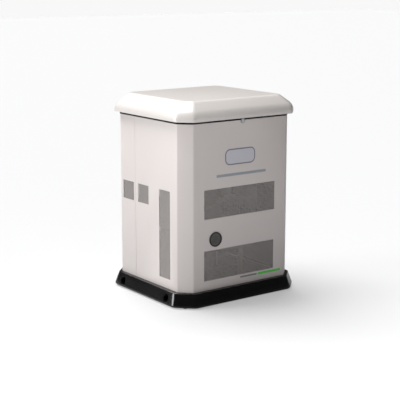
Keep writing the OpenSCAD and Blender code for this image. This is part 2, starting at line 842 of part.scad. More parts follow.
module crankshaft() {
  top = fly_z + fly_h + 10;
  throw_z = case_z + 62;
  color([0.7, 0.7, 0.72]) {
    on_shaft(adapter_top - 14) cylinder(r = journal_r, h = throw_z - adapter_top + 14);
    on_shaft(throw_z + 78) cylinder(r = journal_r, h = top - throw_z - 78);
    for (z = [throw_z, throw_z + 78 - web_t]) on_shaft(z) difference() {
      cylinder(r = web_r, h = web_t);
      for (s = [-1, 1]) translate([12, s * 62, -1]) block([90, 60, web_t + 2]);
    }
    on_shaft(throw_z) translate([crank_throw, 0, 0]) cylinder(r = 18, h = 78);
  }
}

module cylinders() {
  step = (barrel_len - 12) / fin_count;
  color(cast) for (i = [0, 1]) along_cylinder(i, barrel_start) difference() {
    union() {
      cylinder(d = cyl_bore + 14, h = barrel_len);
      for (k = [0:fin_count - 1]) translate([0, 0, 8 + k * step]) cylinder(d = fin_d, h = 3);
    }
    translate([0, 0, -1]) cylinder(d = cyl_bore, h = barrel_len + 2);
  }
}

module cylinder_heads() {
  color(cast) for (i = [0, 1]) along_cylinder(i, head_start) {
    translate([0, 0, 0]) block([112, 108, 14]);
    translate([0, 0, 14]) block([88, 80, head_len - 14]);
    for (k = [0:3]) translate([0, 0, 22 + k * 9]) block([118, 112, 3]);
  }
}

module valve_covers() {
  color(black) for (i = [0, 1]) along_cylinder(i, cover_start) {
    block([96, 100, 5]);
    translate([0, 0, 5]) block([84, 86, cover_len - 5]);
    for (a = [-1, 1]) for (b = [-1, 1]) translate([a * 44, b * 46, 5]) cylinder(d = 9, h = 4, $fn = 6);
  }
}

module spark_plugs() {
  color([0.92, 0.9, 0.86]) for (i = [0, 1]) along_cylinder(i, head_start + 7)
    translate([0, (i == 0 ? -1 : 1) * 54, 0])
      rotate([i == 0 ? 90 : -90, 0, 0]) {
        cylinder(d = 22, h = 8, $fn = 6);
        translate([0, 0, 8]) cylinder(d = 13, h = 22);
        translate([0, 0, 24]) cylinder(d = 19, h = 24);
      }
}

// ---- Flywheel, fan and blower housing ----

module flywheel() {
  color([0.5, 0.5, 0.52]) on_shaft(fly_z) difference() {
    union() {
      cylinder(d = flywheel_d - 12, h = fly_h);
      cylinder(d = flywheel_d, h = 12);
    }
    translate([0, 0, -1]) cylinder(r = journal_r, h = fly_h + 2);
    translate([0, 0, 14]) ring(flywheel_d / 2 - 20, journal_r + 20, fly_h);
  }
}

fan_z = fly_z + fly_h;

module cooling_fan() {
  color(black) on_shaft(fan_z) {
    ring(flywheel_d / 2 - 6, journal_r, 4);
    for (k = [0:blade_count - 1]) rotate([0, 0, k * 360 / blade_count]) translate([62, 0, 3])
      rotate([0, 0, 25]) translate([0, -1.5, 0]) cube([flywheel_d / 2 - 72, 3, fan_h - 3]);
    translate([0, 0, 4]) ring(journal_r + 14, journal_r, 20);
  }
}

blower_gap = 14;
blower_r = flywheel_d / 2 + blower_gap;
blower_z = case_top + 4;
blower_top = fan_z + fan_h + 10;
blower_wall = 3;
duct_w = 150;
duct_end = cover_start - 10;
intake_r = 92;

// Outline of the blower housing, shrunk by an inset
module blower_outline(inset) {
  circle(r = blower_r - inset);
  for (a = cyl_angles) rotate(a) translate([0, inset - duct_w / 2])
    square([duct_end - inset, duct_w - 2 * inset]);
}

module blower_housing() {
  color(black) on_shaft(0) difference() {
    translate([0, 0, blower_z]) linear_extrude(blower_top - blower_z) blower_outline(0);
    translate([0, 0, blower_z - 1]) linear_extrude(blower_top - blower_z + 1 - blower_wall)
      blower_outline(blower_wall);
    translate([0, 0, blower_top - 10]) cylinder(r = intake_r, h = 20);
  }
}

module debris_screen() {
  z = fan_z + fan_h;
  color(steel) on_shaft(z) {
    difference() {
      cylinder(r = intake_r - 6, h = 22);
      translate([0, 0, -1]) cylinder(r = intake_r - 8, h = 21);
      for (k = [0:5]) for (r = [28, 46, 64]) rotate([0, 0, k * 60 + r]) translate([r, 0, 15])
        cylinder(r = 6.5, h = 10);
    }
    translate([0, 0, -10]) cylinder(r = 8, h = 31);
  }
}

// ---- Intake: mixer, manifold and air cleaner ----

mixer_x = shaft_x;
mixer_y = shaft_y - 210;
mixer_r = 26;
mixer_z = cyl_z[0] + 54;
cleaner_z = blower_top + 16;
cleaner = [220, 160, 95];
cleaner_y = shaft_y - 222;
cleaner_wall = 3;

module fuel_mixer() {
  color([0.7, 0.71, 0.72]) translate([mixer_x, mixer_y, 0]) {
    difference() {
      union() {
        translate([0, 0, mixer_z]) cylinder(r = mixer_r, h = cleaner_z - mixer_z);
        translate([0, 0, mixer_z]) block([78, 58, 8]);
        translate([0, 0, mixer_z + 60]) block([70, 62, 34]);
      }
      translate([0, 0, mixer_z - 1]) cylinder(r = 18, h = cleaner_z - mixer_z + 2);
    }
    // throttle shaft with its lever
    translate([-44, 0, mixer_z + 30]) rotate([0, 90, 0]) cylinder(r = 4, h = 20);
    translate([-46, -6, mixer_z + 24]) cube([3, 12, 40]);
  }
}

module intake_manifold() {
  ends = [for (i = [0, 1]) let (a = cyl_angles[i], s = i == 0 ? 1 : -1, r = head_start + 34)
    [shaft_x + r * cos(a) - s * 56 * sin(a), shaft_y + r * sin(a) + s * 56 * cos(a), cyl_z[i]]];
  color(cast) {
    translate([mixer_x, mixer_y, mixer_z - 26]) cylinder(r = 22, h = 26);
    translate([mixer_x, mixer_y, mixer_z - 6]) block([78, 58, 6]);
    for (i = [0, 1]) let (e = ends[i], c = [mixer_x, mixer_y, mixer_z - 14])
      tube(spline([c, c + [(i == 0 ? -1 : 1) * 26, 0, -6], (c + e) / 2 + [0, -6, 0], e]), 14);
  }
}

module filter_element() {
  color([0.9, 0.86, 0.7]) translate([mixer_x, cleaner_y, cleaner_z + 8]) difference() {
    block([cleaner[0] - 30, cleaner[1] - 30, cleaner[2] - 30]);
    translate([0, 0, -1]) block([cleaner[0] - 90, cleaner[1] - 90, cleaner[2] - 28]);
  }
}

module air_cleaner_cover() {
  color(black) translate([mixer_x, cleaner_y, cleaner_z]) {
    difference() {
      block(cleaner);
      translate([0, 0, 8]) block([cleaner[0] - 2 * cleaner_wall, cleaner[1] - 2 * cleaner_wall,
        cleaner[2] - 8 - cleaner_wall]);
      translate([0, mixer_y - cleaner_y, -1]) cylinder(r = 18, h = 10);
    }
    for (s = [-1, 1]) translate([s * 60, 0, cleaner[2]]) cylinder(r = 15, h = 16, $fn = 12);
  }
}

// ---- Oil filter, dipstick, starter ----

module oil_filter() {
  color([0.85, 0.85, 0.83]) on_shaft(filter_z) rotate([-90, 0, 0]) translate([0, 0, case_r + filter_pad]) {
    cylinder(r = 24, h = 12);
    translate([0, 0, 12]) cylinder(r = 38, h = 76);
    translate([0, 0, 88]) cylinder(r = 33, h = 4);
  }
}

module dipstick() {
  color([0.85, 0.7, 0.1]) translate([stick_x, stick_y, 0]) {
    translate([0, 0, stick_z + 6]) cylinder(r = 2.5, h = stick_top - stick_z);
    translate([0, 0, stick_top + rest_gap]) cylinder(r = 14, h = 12, $fn = 12);
    translate([0, 0, stick_top + 12]) block([20, 5, 14]);
  }
}

starter_angle = 40;
starter_at = 152;
starter_r = 38;
starter_x = shaft_x + starter_at * cos(starter_angle);
starter_y = shaft_y + starter_at * sin(starter_angle);
starter_z = case_z + 72;
starter_h = case_top - 6 - starter_z;

module starter_motor() {
  color(black) {
    translate([starter_x, starter_y, starter_z]) {
      cylinder(r = starter_r, h = starter_h);
      translate([0, 0, -8]) cylinder(r = starter_r - 6, h = 8);
    }
    // mounting arm to the engine block
    difference() {
      on_shaft(starter_z + starter_h - 24) rotate([0, 0, starter_angle]) translate([case_r - 10, -20, 0])
        cube([starter_at - case_r, 40, 16]);
      on_shaft(0) cylinder(r = case_r, h = 1000);
    }
  }
}

// ---- Exhaust ----

muffler_x = -outlet_left + muffler_len / 2 - 18;
muffler_y = -hy + 96;
muffler_z = outlet_z - 33;
muffler_r = muffler_d / 2;
tail_r = 17;
tail_wall = 2;
tail_gap = 10;

module muffler() {
  color([0.5, 0.49, 0.47]) {
    difference() {
      union() {
        translate([muffler_x - muffler_len / 2, muffler_y, muffler_z]) rotate([0, 90, 0]) {
          cylinder(r = muffler_r, h = muffler_len);
          for (z = [0, muffler_len - 6]) translate([0, 0, z]) cylinder(r = muffler_r + 4, h = 6);
        }
        translate([-outlet_left, muffler_y, outlet_z]) to_front()
          cylinder(r = tail_r, h = muffler_y + hy - tail_gap);
      }
      translate([-outlet_left, muffler_y - 45, outlet_z]) to_front()
        cylinder(r = tail_r - tail_wall, h = 100);
    }
    // two straps down to feet on the base
    for (s = [-1, 1]) translate([muffler_x + s * muffler_len * 0.32, muffler_y, 0]) {
      translate([0, 0, base_h]) block([30, 4, muffler_z - muffler_r + 4 - base_h]);
      translate([0, 0, base_h]) block([30, 50, 4]);
    }
  }
}

module exhaust_pipes() {
  tail = muffler_x + muffler_len / 2;
  reach = head_start + 38;
  left = [shaft_x + reach * cos(cyl_angles[0]), shaft_y + reach * sin(cyl_angles[0]), cyl_z[0] - 59];
  right = [shaft_x + reach * cos(cyl_angles[1]), shaft_y + reach * sin(cyl_angles[1]), cyl_z[1] - 59];
  join = [-outlet_left + 10, muffler_y + muffler_r * 0.75, muffler_z + muffler_r * 0.55];
  color([0.58, 0.52, 0.46]) {
    tube(spline([left, left + [2, -2, -14], (left + join) / 2 + [4, 0, -6], join]), 13);
    tube(spline([right, right + [0, -2, -24], [right[0] - 12, muffler_y + 40, muffler_z + 50],
      [tail + 30, muffler_y + 6, muffler_z + 10], [tail - 4, muffler_y, muffler_z]]), 13);
    for (p = [left, right]) translate(p - [0, 0, 6]) block([52, 34, 6]);
  }
}

module exhaust_outlet() {
  color(black) translate([-outlet_left, -hy, outlet_z]) to_front() difference() {
    union() {
      translate([0, 0, -14]) cylinder(r = outlet_hole_r - hole_fit, h = 15);
      cylinder(r = outlet_d / 2, h = 3);
      ring(outlet_d / 2, outlet_d / 2 - 7, 6);
    }
    translate([0, 0, -16]) cylinder(r = outlet_hole_r - 3, h = 14);
    for (r = [9, 18]) for (k = [0:r / 1.5 - 1]) rotate([0, 0, k * 540 / r]) translate([r, 0, -20])
      cylinder(r = 2.6, h = 40);
    translate([0, 0, -20]) cylinder(r = 3.5, h = 40);
  }
}

// ---- Fuel regulator and hose ----

reg_x = hx - 85.5;
reg_y = hy - 110.5;
reg_z = base_h + 318;
reg_r = 52;
hose_r = 8;

module fuel_regulator() {
  color([0.66, 0.67, 0.68]) translate([reg_x, reg_y, reg_z]) {
    rotate([0, 90, 0]) {
      cylinder(r = reg_r, h = 14);
      translate([0, 0, 14]) cylinder(r = reg_r - 8, h = 22);
      translate([0, 0, -14]) cylinder(r = reg_r - 14, h = 14);
    }
    translate([20, 0, -reg_r - 8]) cylinder(r = hose_r + 2, h = 20);
    translate([20, -reg_r + 12, 0]) to_front() cylinder(r = hose_r + 2, h = 20);
    translate([36, -15, -10]) cube([in_x - reg_x - 36, 30, 5]);
  }
}

module fuel_hose() {
  low = [reg_x + 20, reg_y, reg_z - reg_r - 8];
  out = [reg_x + 20, reg_y - reg_r - 8, reg_z];
  start = [inlet_x, hy - 30, inlet_z];
  goal = [mixer_x + 35, mixer_y, mixer_z + 76];
  color(rubber) {
    tube(spline([start, start + [0, -22, 0], (start + low) / 2 + [4, -12, -14], low - [0, 0, 24], low]),
      hose_r);
    tube(spline([out, out + [0, -24, 4], [hx - 40.5, 40, reg_z + 70], [hx - 30.5, -60, blower_z + 8],
      [hx - 35.5, -150, blower_top - 24], [hx - 95.5, -225, blower_top - 14],
      [140, mixer_y - 80, goal[2] + 22], goal + [34, -24, 6], goal]), hose_r);
  }
}

// ---- Battery ----

battery = [165, 195, 190];
battery_x = 110.5 - hx;
battery_y = hy - 160.5;
tray_t = 3;
battery_z = base_h + tray_t;
post_x = 46;
post_y = -72;

module battery() {
  color(black) translate([battery_x, battery_y, battery_z]) {
    block([battery[0], battery[1], battery[2] - 12]);
    translate([0, 0, battery[2] - 12]) block([battery[0] - 8, battery[1] - 8, 12]);
    for (s = [-1, 1]) translate([s * post_x, post_y, battery[2]]) cylinder(r = 8, h = 14);
    for (k = [-1:1]) translate([0, k * 50 + 10, battery[2]]) cylinder(r = 10, h = 3);
  }
}

module battery_tray() {
  w = battery[0] + 2 * tray_t + 1;
  d = battery[1] + 2 * tray_t + 1;
  color(steel) translate([battery_x, battery_y, base_h]) {
    difference() {
      block([w, d, 40]);
      translate([0, 0, tray_t]) block([battery[0] + 1, battery[1] + 1, 50]);
    }
    // hold-down strap over the battery
    difference() {
      translate([0, 35, 40]) block([w, 24, battery[2] + tray_t - 40 + 3]);
      translate([0, 35, 0]) block([battery[0] + 1, 30, battery[2] + tray_t]);
    }
  }
}

module battery_cables() {
  top = battery_z + battery[2] + 14;
  plus = [battery_x + post_x, battery_y + post_y, top];
  minus = [battery_x - post_x, battery_y + post_y, top];
  ground = [shaft_x - 60, shaft_y + 150, frame_top];
  color([0.7, 0.1, 0.08]) {
    translate(plus - [0, 0, 10]) ring(13, 8, 8);
    tube(spline([plus, plus + [0, 8, 18], [battery_x + 43, battery_y + 50, top + 46],
      [-110, hy - 45.5, top + 52], [0, hy - 32.5, top + 46], [100, hy - 60.5, top + 66],
      [starter_x, starter_y + 20, starter_z - 30], [starter_x, starter_y, starter_z - 8]]), 6);
  }
  color(rubber) {
    translate(minus - [0, 0, 10]) ring(13, 8, 8);
    tube(spline([minus, minus + [0, 8, 18], [battery_x - 43, battery_y + 10, top + 16],
      [battery_x - 15, hy - 75.5, top + 4], [-190, hy - 42.5, base_h + 158],
      [-120, hy - 38.5, base_h + 88], ground + [0, 20, 36], ground]), 6);
  }
}

// ---- Controls ----

box_x = in_x - 84;
box_y = -115;
box_top = body_top - 42;
face_t = 3;
face_top = box_top + face_t;
rocker_r = 15;
rocker_w = 22;
rocker_at = [box_x - 30, box_y - 70];
rocker_z = face_top - 3;
button_r = 8;
button_at = [box_x + 25, box_y - 70];
breaker_at = [box_x, box_y + 60];
breaker = [44, 92, 64];
toggle_r = 9;
toggle_z = box_top - 3;
toggle_tilt = 20;

module control_box() {
  color([0.3, 0.31, 0.33]) difference() {
    union() {
      translate([box_x, box_y, box_top - box_h]) block([box_w, box_d, box_h]);
      // two arms to the side sheet
      for (y = [-70, 70]) translate([box_x, box_y + y - 10, box_top - box_h + 20])
        cube([in_x - box_x, 20, 4]);
    }
    translate([box_x, box_y, box_top - box_h + 2]) block([box_w - 4, box_d - 4, box_h]);
  }
}

module control_face() {
  color([0.22, 0.23, 0.25]) translate([0, 0, box_top]) difference() {
    translate([box_x, box_y, 0]) block([box_w, box_d, face_t]);
    translate([rocker_at[0], rocker_at[1], -1])
      block([rocker_w + 2 * hole_fit, 2 * (rocker_r + hole_fit), face_t + 2]);
    translate([button_at[0], button_at[1], -1]) cylinder(r = button_r + hole_fit, h = face_t + 2);
    translate([breaker_at[0], breaker_at[1], -1]) block([13, 28, face_t + 2]);
  }
}

module system_switch() {
  color([0.85, 0.85, 0.85]) translate([rocker_at[0] - rocker_w / 2, rocker_at[1], rocker_z])
    rotate([90, 0, 90]) linear_extrude(rocker_w) intersection() {
      circle(r = rocker_r);
      polygon([[-16, -9], [16, -9], [16, 9], [0, 5], [-16, 9]]);
    }
}

module exercise_button() {
  color([0.1, 0.45, 0.15]) translate([button_at[0], button_at[1], 0]) {
    translate([0, 0, box_top - 12]) cylinder(r = button_r, h = face_t + 12 + 5);
    translate([0, 0, box_top - 4]) cylinder(r = button_r + 2.5, h = 4 - rest_gap);
  }
}

module breaker_body() {
  color(black) difference() {
    translate([breaker_at[0], breaker_at[1], box_top - breaker[2]]) block(breaker);
    translate([breaker_at[0] - 7, breaker_at[1], toggle_z]) rotate([0, 90, 0])
      cylinder(r = toggle_r + 3, h = 14);
  }
}

module breaker_toggle() {
  color([0.9, 0.9, 0.88]) translate([breaker_at[0], breaker_at[1], toggle_z]) rotate([toggle_tilt, 0, 0]) {
    translate([-5, 0, 0]) rotate([0, 90, 0]) cylinder(r = toggle_r, h = 10);
    translate([0, 0, 4]) block([10, 7, 22]);
  }
}

// ---- The pieces ----

base_tray();
front_panel();
rear_panel();
front_screens();
rear_screens();
roof_shell();
roof_frame();
roof_liner();
roof_seal();
hinge_leaves_fixed();
hinge_leaves_moving();
hinge_pins();
stay_arm();
stay_track();
lock_housing();
lock_cylinder();
lock_cam();
panel_screws();
fuel_inlet();
conduit_gland();
mounting_frame();
isolators();
end_bracket();
rotor_bearing();
stator_core();
stator_windings();
rotor();
stator_bolts();
engine_adapter();
crankcase();
crankshaft();
cylinders();
cylinder_heads();
valve_covers();
spark_plugs();
flywheel();
cooling_fan();
debris_screen();
blower_housing();
fuel_mixer();
intake_manifold();
filter_element();
air_cleaner_cover();
oil_filter();
dipstick();
starter_motor();
exhaust_pipes();
muffler();
exhaust_outlet();
fuel_regulator();
fuel_hose();
battery();
battery_tray();
battery_cables();
control_box();
control_face();
system_switch();
exercise_button();
breaker_body();
breaker_toggle();
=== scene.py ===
import math

import bmesh
import bpy
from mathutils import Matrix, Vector


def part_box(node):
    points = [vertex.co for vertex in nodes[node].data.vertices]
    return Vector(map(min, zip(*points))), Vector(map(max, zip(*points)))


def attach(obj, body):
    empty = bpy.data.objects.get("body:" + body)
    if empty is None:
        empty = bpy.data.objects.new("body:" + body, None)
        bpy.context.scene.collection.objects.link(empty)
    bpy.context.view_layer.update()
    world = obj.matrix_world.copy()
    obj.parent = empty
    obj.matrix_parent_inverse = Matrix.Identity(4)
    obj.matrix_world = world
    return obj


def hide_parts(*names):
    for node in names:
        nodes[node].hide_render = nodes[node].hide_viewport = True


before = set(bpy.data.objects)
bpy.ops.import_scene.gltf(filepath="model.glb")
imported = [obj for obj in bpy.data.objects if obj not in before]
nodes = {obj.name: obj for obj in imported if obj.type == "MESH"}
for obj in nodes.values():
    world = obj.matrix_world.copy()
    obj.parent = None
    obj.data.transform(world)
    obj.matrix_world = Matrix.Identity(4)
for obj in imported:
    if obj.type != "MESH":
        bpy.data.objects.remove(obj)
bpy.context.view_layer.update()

# ---------------------------------------------------------------------------------------------
# Camera. A long lens from the left of the front, a little above the middle of the enclosure, so
# that the front, the left side, the roof and the base's lifting holes all show.
view_turn = math.radians(-36.16)
view_rise = math.radians(11.71)
view_from = (-3.2396, -4.4016, 1.5734)
backwards = Vector((math.sin(view_turn) * math.cos(view_rise),
                    -math.cos(view_turn) * math.cos(view_rise), math.sin(view_rise)))
bpy.ops.object.camera_add(location=view_from)
camera = bpy.context.object
camera.name = "camera"
camera.rotation_euler = (-backwards).to_track_quat("-Z", "Y").to_euler()
camera.data.lens = 99.5
camera.data.sensor_width = 36.0
camera.data.clip_end = 60.0
bpy.context.scene.camera = camera

# ---------------------------------------------------------------------------------------------
# Studio. A pale floor under two broad, soft suns, one high above the rear and one low on the left,
# with a soft box on the left and one in front. The roof and the left side are lit, and the front is
# in soft shade. The surround looks white to the camera and gives the pieces only a little light.
bpy.context.scene.view_settings.view_transform = "Standard"


def broad_sun(name, comes_from, strength, spread):
    """A sun lamp that shines from one direction to the middle, its disc spread degrees wide."""
    bpy.ops.object.light_add(type="SUN", location=comes_from)
    lamp = bpy.context.object
    lamp.name = name
    lamp.rotation_euler = Vector(comes_from).to_track_quat("Z", "Y").to_euler()
    lamp.data.energy = strength
    lamp.data.angle = math.radians(spread)


def soft_box(name, place, aim, size, power):
    """A rectangular soft box aimed from its place at a point, not seen itself or in reflections."""
    bpy.ops.object.light_add(type="AREA", location=place)
    lamp = bpy.context.object
    lamp.name = name
    lamp.rotation_euler = (Vector(place) - Vector(aim)).to_track_quat("Z", "Y").to_euler()
    lamp.data.shape = "RECTANGLE"
    lamp.data.size, lamp.data.size_y = size
    lamp.data.energy = power
    lamp.visible_camera = False
    lamp.visible_glossy = False


broad_sun("overhead", (-0.3, 2.0, 4.0), 5.9, 50)
broad_sun("left_key", (-3.6, 1.9, 1.0), 2.15, 30)
soft_box("left_soft_box", (-1.9, -0.9, 1.1), (-0.2, -0.1, 0.6), (0.7, 1.1), 4.5)
soft_box("front_soft_box", (-0.9, -2.0, 1.2), (-0.1, -0.3, 0.5), (0.6, 0.6), 14)

world = bpy.data.worlds.new("studio")
world.use_nodes = True
world.node_tree.nodes["Background"].inputs["Color"].default_value = (1, 1, 1, 1)
surround = world.node_tree.nodes["Background"].inputs["Strength"]
surround_light = 0.06
surround_white = 0.94
looked_at = world.node_tree.nodes.new("ShaderNodeLightPath")
strength = world.node_tree.nodes.new("ShaderNodeMath")
strength.operation = "MULTIPLY_ADD"
strength.inputs[1].default_value = surround_white - surround_light
strength.inputs[2].default_value = surround_light
world.node_tree.links.new(looked_at.outputs["Is Camera Ray"], strength.inputs[0])
world.node_tree.links.new(strength.outputs[0], surround)
bpy.context.scene.world = world


def linear(red, green, blue):
    """A colour given as screen values from 0 to 255, as the shader's own linear numbers."""
    return tuple((c / 255 / 12.92) if c < 11 else ((c / 255 + 0.055) / 1.055) ** 2.4
                 for c in (red, green, blue)) + (1.0,)


def nothing_selected():
    bpy.ops.object.select_all(action="DESELECT")


floor_side = 60
floor_glow = 0.36
nothing_selected()
bpy.ops.mesh.primitive_plane_add(size=floor_side)
floor = bpy.context.object
floor.name = "floor"
floor_paint = bpy.data.materials.new("studio_floor")
floor_paint.use_nodes = True
floor_shader = floor_paint.node_tree.nodes["Principled BSDF"]
floor_shader.inputs["Base Color"].default_value = linear(152, 152, 153)
floor_shader.inputs["Roughness"].default_value = 0.9
floor_shader.inputs["Specular IOR Level"].default_value = 0.1
floor_shader.inputs["Emission Color"].default_value = (1, 1, 1, 1)
seen = floor_paint.node_tree.nodes.new("ShaderNodeLightPath")
glow = floor_paint.node_tree.nodes.new("ShaderNodeMath")
glow.operation = "MULTIPLY"
glow.inputs[1].default_value = floor_glow
floor_paint.node_tree.links.new(seen.outputs["Is Camera Ray"], glow.inputs[0])
floor_paint.node_tree.links.new(glow.outputs[0], floor_shader.inputs["Emission Strength"])
floor.data.materials.append(floor_paint)


# ---------------------------------------------------------------------------------------------
# Base. One black moulding with a satin gloss, heavy enough to stand the set on. Its sides lean in
# to a narrow ledge, and two round tunnels run through from side to side for the lifting pipes.
def node_group(name, inputs, outputs):
    """An empty shader group with named sockets: {name: (kind, default)} in and {name: kind} out."""
    group = bpy.data.node_groups.new(name, "ShaderNodeTree")
    for label, (kind, value) in inputs.items():
        socket = group.interface.new_socket(label, in_out="INPUT", socket_type="NodeSocket" + kind)
        socket.default_value = value
    for label, kind in outputs.items():
        group.interface.new_socket(label, in_out="OUTPUT", socket_type="NodeSocket" + kind)
    return group, group.nodes.new("NodeGroupInput"), group.nodes.new("NodeGroupOutput")


def wire(tree, start, end):
    tree.links.new(start, end)


def math_node(tree, operation, first, second):
    """A Math node; each operand is a socket or a plain number."""
    node = tree.nodes.new("ShaderNodeMath")
    node.operation = operation
    for place, value in enumerate((first, second)):
        if isinstance(value, (int, float)):
            node.inputs[place].default_value = value
        else:
            wire(tree, value, node.inputs[place])
    return node.outputs[0]


def mix_colour(tree, amount, first, second):
    node = tree.nodes.new("ShaderNodeMix")
    node.data_type = "RGBA"
    wire(tree, amount, node.inputs["Factor"])
    wire(tree, first, node.inputs["A"])
    wire(tree, second, node.inputs["B"])
    return node.outputs["Result"]


# Every finish goes through this group: a slow drift of colour, a fine grain in the relief, streaks
# or blotches in the gloss, and dust that lies where the surface faces up.
surface, given, made = node_group("worn_surface", {
    "Colour": ("Color", (0.8, 0.8, 0.8, 1)), "Drift Colour": ("Color", (0.7, 0.7, 0.7, 1)),
    "Drift Size": ("Float", 6.0), "Drift": ("Float", 0.3),
    "Roughness": ("Float", 0.5), "Roughness Spread": ("Float", 0.1),
    "Grain Size": ("Float", 600.0), "Grain Depth": ("Float", 0.2),
    "Grain Stretch": ("Vector", (1, 1, 1)),
    "Dust": ("Float", 0.1), "Dust Colour": ("Color", (0.5, 0.46, 0.4, 1))},
    {"Colour": "Color", "Roughness": "Float", "Normal": "Vector"})
place = surface.nodes.new("ShaderNodeTexCoord")
stretch = surface.nodes.new("ShaderNodeVectorMath")
stretch.operation = "MULTIPLY"
wire(surface, place.outputs["Object"], stretch.inputs[0])
wire(surface, given.outputs["Grain Stretch"], stretch.inputs[1])
drift = surface.nodes.new("ShaderNodeTexNoise")
drift.inputs["Detail"].default_value = 4.0
wire(surface, place.outputs["Object"], drift.inputs["Vector"])
wire(surface, given.outputs["Drift Size"], drift.inputs["Scale"])
grain = surface.nodes.new("ShaderNodeTexNoise")
grain.inputs["Detail"].default_value = 2.0
wire(surface, stretch.outputs[0], grain.inputs["Vector"])
wire(surface, given.outputs["Grain Size"], grain.inputs["Scale"])
facing = surface.nodes.new("ShaderNodeSeparateXYZ")
geometry = surface.nodes.new("ShaderNodeNewGeometry")
wire(surface, geometry.outputs["Normal"], facing.inputs[0])
upwards = math_node(surface, "MAXIMUM", facing.outputs["Z"], 0.0)
flat_places = math_node(surface, "POWER", upwards, 3.0)
settled = math_node(surface, "MULTIPLY", flat_places, given.outputs["Dust"])
patches = math_node(surface, "ADD", drift.outputs["Fac"], 0.4)
dusty = math_node(surface, "MULTIPLY", settled, patches)
drift_share = math_node(surface, "MULTIPLY", drift.outputs["Fac"], given.outputs["Drift"])
drifted = mix_colour(surface, drift_share, given.outputs["Colour"], given.outputs["Drift Colour"])
shown = mix_colour(surface, dusty, drifted, given.outputs["Dust Colour"])
wire(surface, shown, made.inputs["Colour"])
centred = math_node(surface, "SUBTRACT", math_node(
    surface, "ADD", drift.outputs["Fac"], grain.outputs["Fac"]), 1.0)
swing = math_node(surface, "MULTIPLY", centred, given.outputs["Roughness Spread"])
gloss = math_node(surface, "ADD", given.outputs["Roughness"], swing)
wire(surface, math_node(surface, "ADD", gloss, math_node(surface, "MULTIPLY", dusty, 0.5)),
     made.inputs["Roughness"])
grain_height = 0.0006
relief = surface.nodes.new("ShaderNodeBump")
relief.inputs["Distance"].default_value = grain_height
wire(surface, given.outputs["Grain Depth"], relief.inputs["Strength"])
wire(surface, grain.outputs["Fac"], relief.inputs["Height"])
wire(surface, relief.outputs["Normal"], made.inputs["Normal"])


def finish(name, colour, drift_colour, metallic=0.0, coat=0.0, **values):
    """A material on the worn_surface group; values go to the group's inputs by name."""
    material = bpy.data.materials.new(name)
    material.use_nodes = True
    tree = material.node_tree
    shader = tree.nodes["Principled BSDF"]
    shader.inputs["Metallic"].default_value = metallic
    shader.inputs["Coat Weight"].default_value = coat
    shader.inputs["Coat Roughness"].default_value = 0.12
    worn = tree.nodes.new("ShaderNodeGroup")
    worn.node_tree = surface
    worn.inputs["Colour"].default_value = colour
    worn.inputs["Drift Colour"].default_value = drift_colour
    for label, value in values.items():
        worn.inputs[label.replace("_", " ").title()].default_value = value
    wire(tree, worn.outputs["Colour"], shader.inputs["Base Color"])
    wire(tree, worn.outputs["Roughness"], shader.inputs["Roughness"])
    wire(tree, worn.outputs["Normal"], shader.inputs["Normal"])
    material.diffuse_color = colour
    return material


def box_piece(name, low, high):
    """A cube primitive made to fill the space between two corners, its place kept in its mesh."""
    nothing_selected()
    low, high = Vector(low), Vector(high)
    bpy.ops.mesh.primitive_cube_add(size=1, location=(low + high) / 2)
    piece = bpy.context.object
    piece.name = name
    piece.scale = high - low
    bpy.ops.object.transform_apply(location=True, rotation=True, scale=True)
    return piece


def select_edges(piece, wanted):
    """Edit mode with only the edges selected for which wanted(middle, direction) holds."""
    bpy.context.view_layer.objects.active = piece
    bpy.ops.object.mode_set(mode="EDIT")
    bpy.ops.mesh.select_mode(type="EDGE")
    bpy.ops.mesh.select_all(action="DESELECT")
    mesh = bmesh.from_edit_mesh(piece.data)
    for edge in mesh.edges:
        a, b = (v.co for v in edge.verts)
        if wanted((a + b) / 2, (b - a).normalized()):
            edge.select_set(True)
    bmesh.update_edit_mesh(piece.data)


def select_faces(piece, wanted):
    """Edit mode with only the faces selected for which wanted(middle, normal) holds."""
    bpy.context.view_layer.objects.active = piece
    bpy.ops.object.mode_set(mode="EDIT")
    bpy.ops.mesh.select_mode(type="FACE")
    bpy.ops.mesh.select_all(action="DESELECT")
    mesh = bmesh.from_edit_mesh(piece.data)
    mesh.normal_update()
    for face in mesh.faces:
        if wanted(face.calc_center_median(), face.normal):
            face.select_set(True)
    bmesh.update_edit_mesh(piece.data)


def upright(middle, direction):
    return abs(direction.z) > 0.99


def chamfer_corners(piece, size):
    """Cuts the four upright edges of a box to flats."""
    select_edges(piece, upright)
    bpy.ops.mesh.bevel(offset=size, segments=1)
    bpy.ops.object.mode_set(mode="OBJECT")


def round_edges(piece, radius, segments, wanted=lambda middle, direction: True):
    select_edges(piece, wanted)
    bpy.ops.mesh.bevel(offset=radius, segments=segments, profile=0.5, clamp_overlap=True)
    bpy.ops.object.mode_set(mode="OBJECT")


def cut_away(piece, cutter):
    """Takes the cutter's volume out of the piece and removes the cutter."""
    bpy.context.view_layer.objects.active = piece
    cut = piece.modifiers.new("cut", "BOOLEAN")
    cut.object = cutter
    cut.solver = "EXACT"
    bpy.ops.object.modifier_apply(modifier="cut")
    bpy.data.objects.remove(cutter)


def rod_piece(name, radius, start, end, sides=48):
    """A round bar between two points."""
    nothing_selected()
    start, end = Vector(start), Vector(end)
    bpy.ops.mesh.primitive_cylinder_add(vertices=sides, radius=radius, depth=(end - start).length,
                                        location=(start + end) / 2)
    piece = bpy.context.object
    piece.name = name
    piece.rotation_mode = "QUATERNION"
    piece.rotation_quaternion = (end - start).to_track_quat("Z", "Y")
    bpy.ops.object.transform_apply(location=True, rotation=True, scale=True)
    return piece


def joined(first, *others):
    nothing_selected()
    for piece in (first, *others):
        piece.select_set(True)
    bpy.context.view_layer.objects.active = first
    bpy.ops.object.join()
    return first


